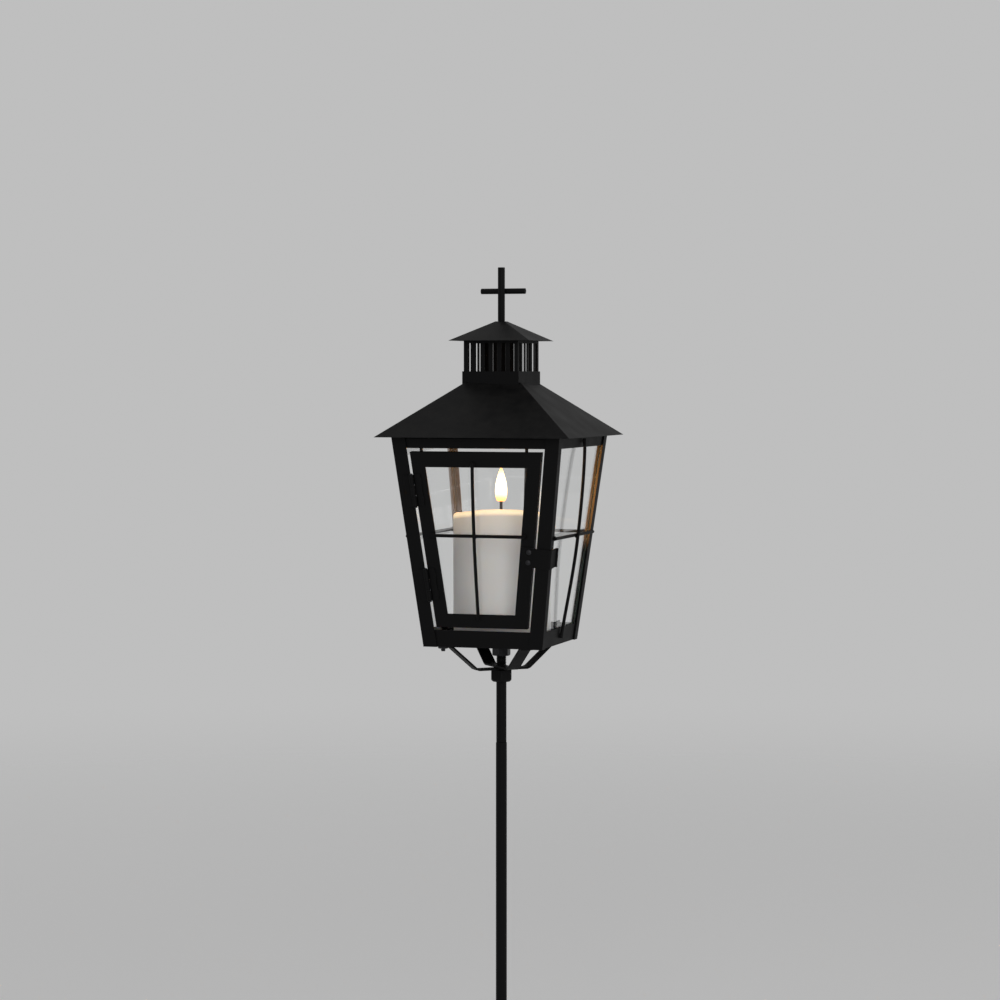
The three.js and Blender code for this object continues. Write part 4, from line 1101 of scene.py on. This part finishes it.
def wax_profile():
    """Radius and height of the wax's section in millimetres, from the wick's hole round to it again."""
    side, wall, hole, inside, edge, shoulder = 37.5, 31.5, 1.45, 86.5, 2.5, 98.5
    lip, dish_width, rim, dish_depth = 34, 25, 101, 9
    points = [(hole, inside), (wall, inside), (wall, 0), (36.5, 0), (37.2, 0.3), (side, 1)]
    points += [(side, 1 + (shoulder - 1) * i / 44) for i in range(1, 45)]
    for i in range(1, 9):
        angle = i / 8 * math.pi / 2
        points.append((side - edge + edge * math.cos(angle), shoulder + edge * math.sin(angle)))
    for i in range(1, 31):
        share = i / 30
        points.append((lip - dish_width * share, rim - dish_depth * math.sin(share * math.pi / 2) ** 0.8))
    return points + [(5, 91.9), (2.4, 92), (1.6, 91.7), (hole, 91.2)]


class LANTERN_OT_wax(bpy.types.Operator):
    """Casts the candle with its wavy rim, its dished top and slightly uneven sides"""

    bl_idname = "lantern.wax"
    bl_label = "Candle wax"

    def execute(self, context):
        rim = 101
        floor = rim - DISH_DEPTH / MM
        rings, below = [], []
        for radius, height in wax_profile():
            ring = []
            share = min(max((height - floor) * MM / DISH_DEPTH, 0), 1)
            for angle in around(192):
                lift = rim_lift(angle)
                spot = Vector((math.cos(angle), math.sin(angle), height / 22))
                hollow = (noise.noise(spot * 1.6) * 0.5 + 0.5) if 1 < height and radius > 33 else 0
                ripple = noise.noise(Vector((spot.x * 3, spot.y * 3, 4.2))) * 0.35 * MM * share
                r = radius * MM - hollow * sizes().wax_unevenness
                z = CANDLE_Z + height * MM + lift * share + ripple - 0.2 * MM * share
                ring.append(polar(r, angle, z))
                below.append((rim - height) + lift / MM * (1 - share))
            rings.append(ring)
        wax = lofted("candle_wax", rings)
        values = wax.data.attributes.new("below_rim", "FLOAT", "POINT")
        values.data.foreach_set("value", below)
        finish_piece(wax, ivory_wax, ["candle_wax_shell"], sharp=60)
        return {"FINISHED"}


class LANTERN_OT_flame(bpy.types.Operator):
    """Makes the wick and the lit tip"""

    bl_idname = "lantern.flame"
    bl_label = "Wick and flame"

    def execute(self, context):
        foot, tip = heights("wick_stem")
        wick = [(0, foot), (WICK_R, foot), (WICK_R, tip - 0.6 * MM), (0.7 * MM, tip - 0.1 * MM), (0, tip)]
        turned("wick", "wick_stem", dark_plastic, wick, sides=24)
        socket = 1.45 * MM
        profile = [(0, tip + SEAT), (socket, tip + SEAT), (socket, FLAME_Z)]
        steps = 40
        for i in range(steps):
            share = i / steps
            swell = math.sin(math.pi * (FLAME_FOOT + (1 - FLAME_FOOT) * share) ** 0.72) ** 0.85
            profile.append((FLAME_R * swell * (1 if i else 0.85), FLAME_Z + FLAME_LENGTH * share))
        profile.append((0, FLAME_Z + FLAME_LENGTH))
        flame = turned("flame", "flame_tip", lit_flame, profile, sides=48, sharp=60)
        flame.visible_shadow = False
        self.light_posts()
        return {"FINISHED"}

    def light_posts(self):
        """Throws more of the flame's light on the black posts than the pale wax can take."""
        lit = bpy.data.collections.new("Lit by the flame")
        for thing in bpy.data.objects:
            if thing.name.startswith("post_") and thing.name not in NODES:
                lit.objects.link(thing)
        lamp = flame_lamp("Flame light on the posts", POST_LIGHT * studio().flame_power)
        lamp.light_linking.receiver_collection = lit


class LANTERN_OT_candle_inside(bpy.types.Operator):
    """Finishes the housing, the cells, the board and the switch inside the candle"""

    bl_idname = "lantern.candle_inside"
    bl_label = "Inside the candle"

    def execute(self, context):
        for node in ("candle_housing", "candle_foot_plate", "battery_hatch"):
            softened(node, ivory_plastic, width=0.3 * MM)
        softened("power_switch", dark_plastic, width=0.25 * MM)
        for node, maker in (
            ("battery_left", battery_sleeve), ("battery_right", battery_sleeve),
            ("circuit_board", solder_mask),
        ):
            materials = NODES[node].data.materials
            materials.clear()
            materials.append(once(maker))
        return {"FINISHED"}


# Studio

CAMERA_AZIMUTH = math.radians(17.671)
CAMERA_PAN = math.radians(0.029)
CAMERA_DISTANCE = 2138.96 * MM
CAMERA_HEIGHT = 208.56 * MM     # above the lantern's underside
CAMERA_PITCH = math.radians(2.585)
CAMERA_LENS = 98.56

# Place, width and height, and share of the lamp power
LAMPS = {
    "Front lamp": ((1.2, -2.4, 1.1), (1.8, 1.4), 0.9),
    "Side lamp": ((2.5, 0.5, 1.3), (1.4, 1.8), 0.5),
    "Back lamp": ((-1.7, 1.5, 2.3), (1.8, 1.0), 0.35),
}
LAMP_TARGET = Vector((0, 0, 0.35))
POST_LIGHT = 48                 # times the flame's power, for the posts alone
FLOOR_R = 6.0
FLOOR_FADE = (0.9, 3.4)         # distances between which the floor fades


def place_camera(scene):
    data = bpy.data.cameras.new("Camera")
    with_values(data, lens=CAMERA_LENS, sensor_width=36, clip_start=0.05, clip_end=100)
    camera = new_object("Camera", data)
    spot = Vector((math.sin(CAMERA_AZIMUTH), -math.cos(CAMERA_AZIMUTH), 0)) * CAMERA_DISTANCE
    spot += Vector((0, 0, BASE_Z + CAMERA_HEIGHT))
    turn = Matrix.Rotation(CAMERA_AZIMUTH + CAMERA_PAN, 4, "Z")
    tip = Matrix.Rotation(math.pi / 2 - CAMERA_PITCH, 4, "X")
    camera.matrix_world = Matrix.Translation(spot) @ turn @ tip
    scene.camera = camera


def flame_lamp(name, energy):
    """A warm lamp in the middle of the flame."""
    data = bpy.data.lights.new(name, "POINT")
    with_values(data, energy=energy, color=colours().flame, shadow_soft_size=4 * MM)
    lamp = new_object(name, data)
    lamp.location = (0, 0, sum(heights("flame_tip")) / 2)
    return lamp


def light_studio():
    for name, (spot, (width, height), share) in LAMPS.items():
        data = bpy.data.lights.new(name, "AREA")
        energy = studio().lamp_power * share
        with_values(data, shape="RECTANGLE", size=width, size_y=height, energy=energy)
        aim = (LAMP_TARGET - Vector(spot)).to_track_quat("-Z", "Y")
        new_object(name, data).matrix_world = Matrix.Translation(spot) @ aim.to_matrix().to_4x4()
    flame_lamp("Flame light", studio().flame_power)


def paint_sky(scene):
    """Soft light from all round; the camera, mirrors and glass see the plain backdrop."""
    world = bpy.data.worlds.new("Studio")
    scene.world = world
    world.use_nodes = True
    sky = Nodes(world.node_tree)
    light = sky.tree.nodes["Background"]
    sky.feed(light.inputs["Color"], (1, 1, 1))
    sky.feed(light.inputs["Strength"], studio().sky_level)
    seen = sky.add("ShaderNodeBackground", {"Color": studio().backdrop})
    path = sky.add("ShaderNodeLightPath")
    shown = sky.math("MAXIMUM", path["Is Camera Ray"], path["Is Transmission Ray"])
    shown = sky.math("MAXIMUM", shown, path["Is Glossy Ray"])
    mix = sky.add("ShaderNodeMixShader", {0: shown, 1: light.outputs[0], 2: seen[0]})
    sky.feed(sky.tree.nodes["World Output"].inputs["Surface"], mix[0])


def lay_floor():
    """A pale disc below the stake's point that fades into the background and is clear from below."""
    bm = bmesh.new()
    bmesh.ops.create_circle(bm, cap_ends=True, segments=96, radius=FLOOR_R)
    bm.transform(Matrix.Translation((0, 0, CAD_BOX[0][2] - SEAT)))
    look = Finish("Pale floor", Base_Color=studio().floor, Roughness=0.85, Specular_IOR_Level=0.2)
    reach = look.add("ShaderNodeVectorMath", {0: look.place()}, operation="LENGTH")["Value"]
    clear = look.add("ShaderNodeBsdfTransparent")[0]
    below = look.add("ShaderNodeNewGeometry")["Backfacing"]
    gone = look.math("MAXIMUM", look.span(reach, *FLOOR_FADE, shape="SMOOTHSTEP"), below)
    mix = look.add("ShaderNodeMixShader", {0: gone, 1: look.shader.outputs[0], 2: clear})
    look.feed(look.tree.nodes["Material Output"].inputs["Surface"], mix[0])
    floor = from_bmesh("Floor", bm)
    floor.data.materials.append(look.material)


class LANTERN_OT_stage(bpy.types.Operator):
    """Sets up the camera, the lamps, the pale background and the floor"""

    bl_idname = "lantern.stage"
    bl_label = "Studio"

    def execute(self, context):
        place_camera(context.scene)
        light_studio()
        paint_sky(context.scene)
        lay_floor()
        return {"FINISHED"}


# Panel and registration

OPERATORS = (
    LANTERN_OT_stage, LANTERN_OT_sheet_metal, LANTERN_OT_roofs, LANTERN_OT_wires, LANTERN_OT_hinges,
    LANTERN_OT_rivets, LANTERN_OT_nuts, LANTERN_OT_cross, LANTERN_OT_stake, LANTERN_OT_panes,
    LANTERN_OT_wax, LANTERN_OT_flame, LANTERN_OT_candle_inside,
)


class LANTERN_PT_panel(bpy.types.Panel):
    """Lists the lantern's settings and pieces"""

    bl_idname = "LANTERN_PT_panel"
    bl_label = "Grave lantern"
    bl_space_type = "VIEW_3D"
    bl_region_type = "UI"
    bl_category = "Lantern"

    def draw(self, context):
        layout = self.layout
        for settings in (sizes(), colours(), studio()):
            box = layout.box()
            for key in settings.__annotations__:
                box.prop(settings, key)
        for operator in OPERATORS:
            layout.operator(operator.bl_idname)


GROUPS = {"lantern_sizes": LanternSizes, "lantern_colours": LanternColours, "lantern_studio": LanternStudio}
CLASSES = (*GROUPS.values(), *OPERATORS, LANTERN_PT_panel)


def register():
    for item in CLASSES:
        bpy.utils.register_class(item)
    for name, group in GROUPS.items():
        setattr(bpy.types.Scene, name, PointerProperty(type=group))


def unregister():
    for name in GROUPS:
        delattr(bpy.types.Scene, name)
    for item in reversed(CLASSES):
        bpy.utils.unregister_class(item)


def main():
    register()
    bpy.context.scene.view_settings.view_transform = "Standard"
    for operator in OPERATORS:
        getattr(bpy.ops.lantern, operator.bl_idname.split(".")[1])()


if __name__ == "__main__":
    main()
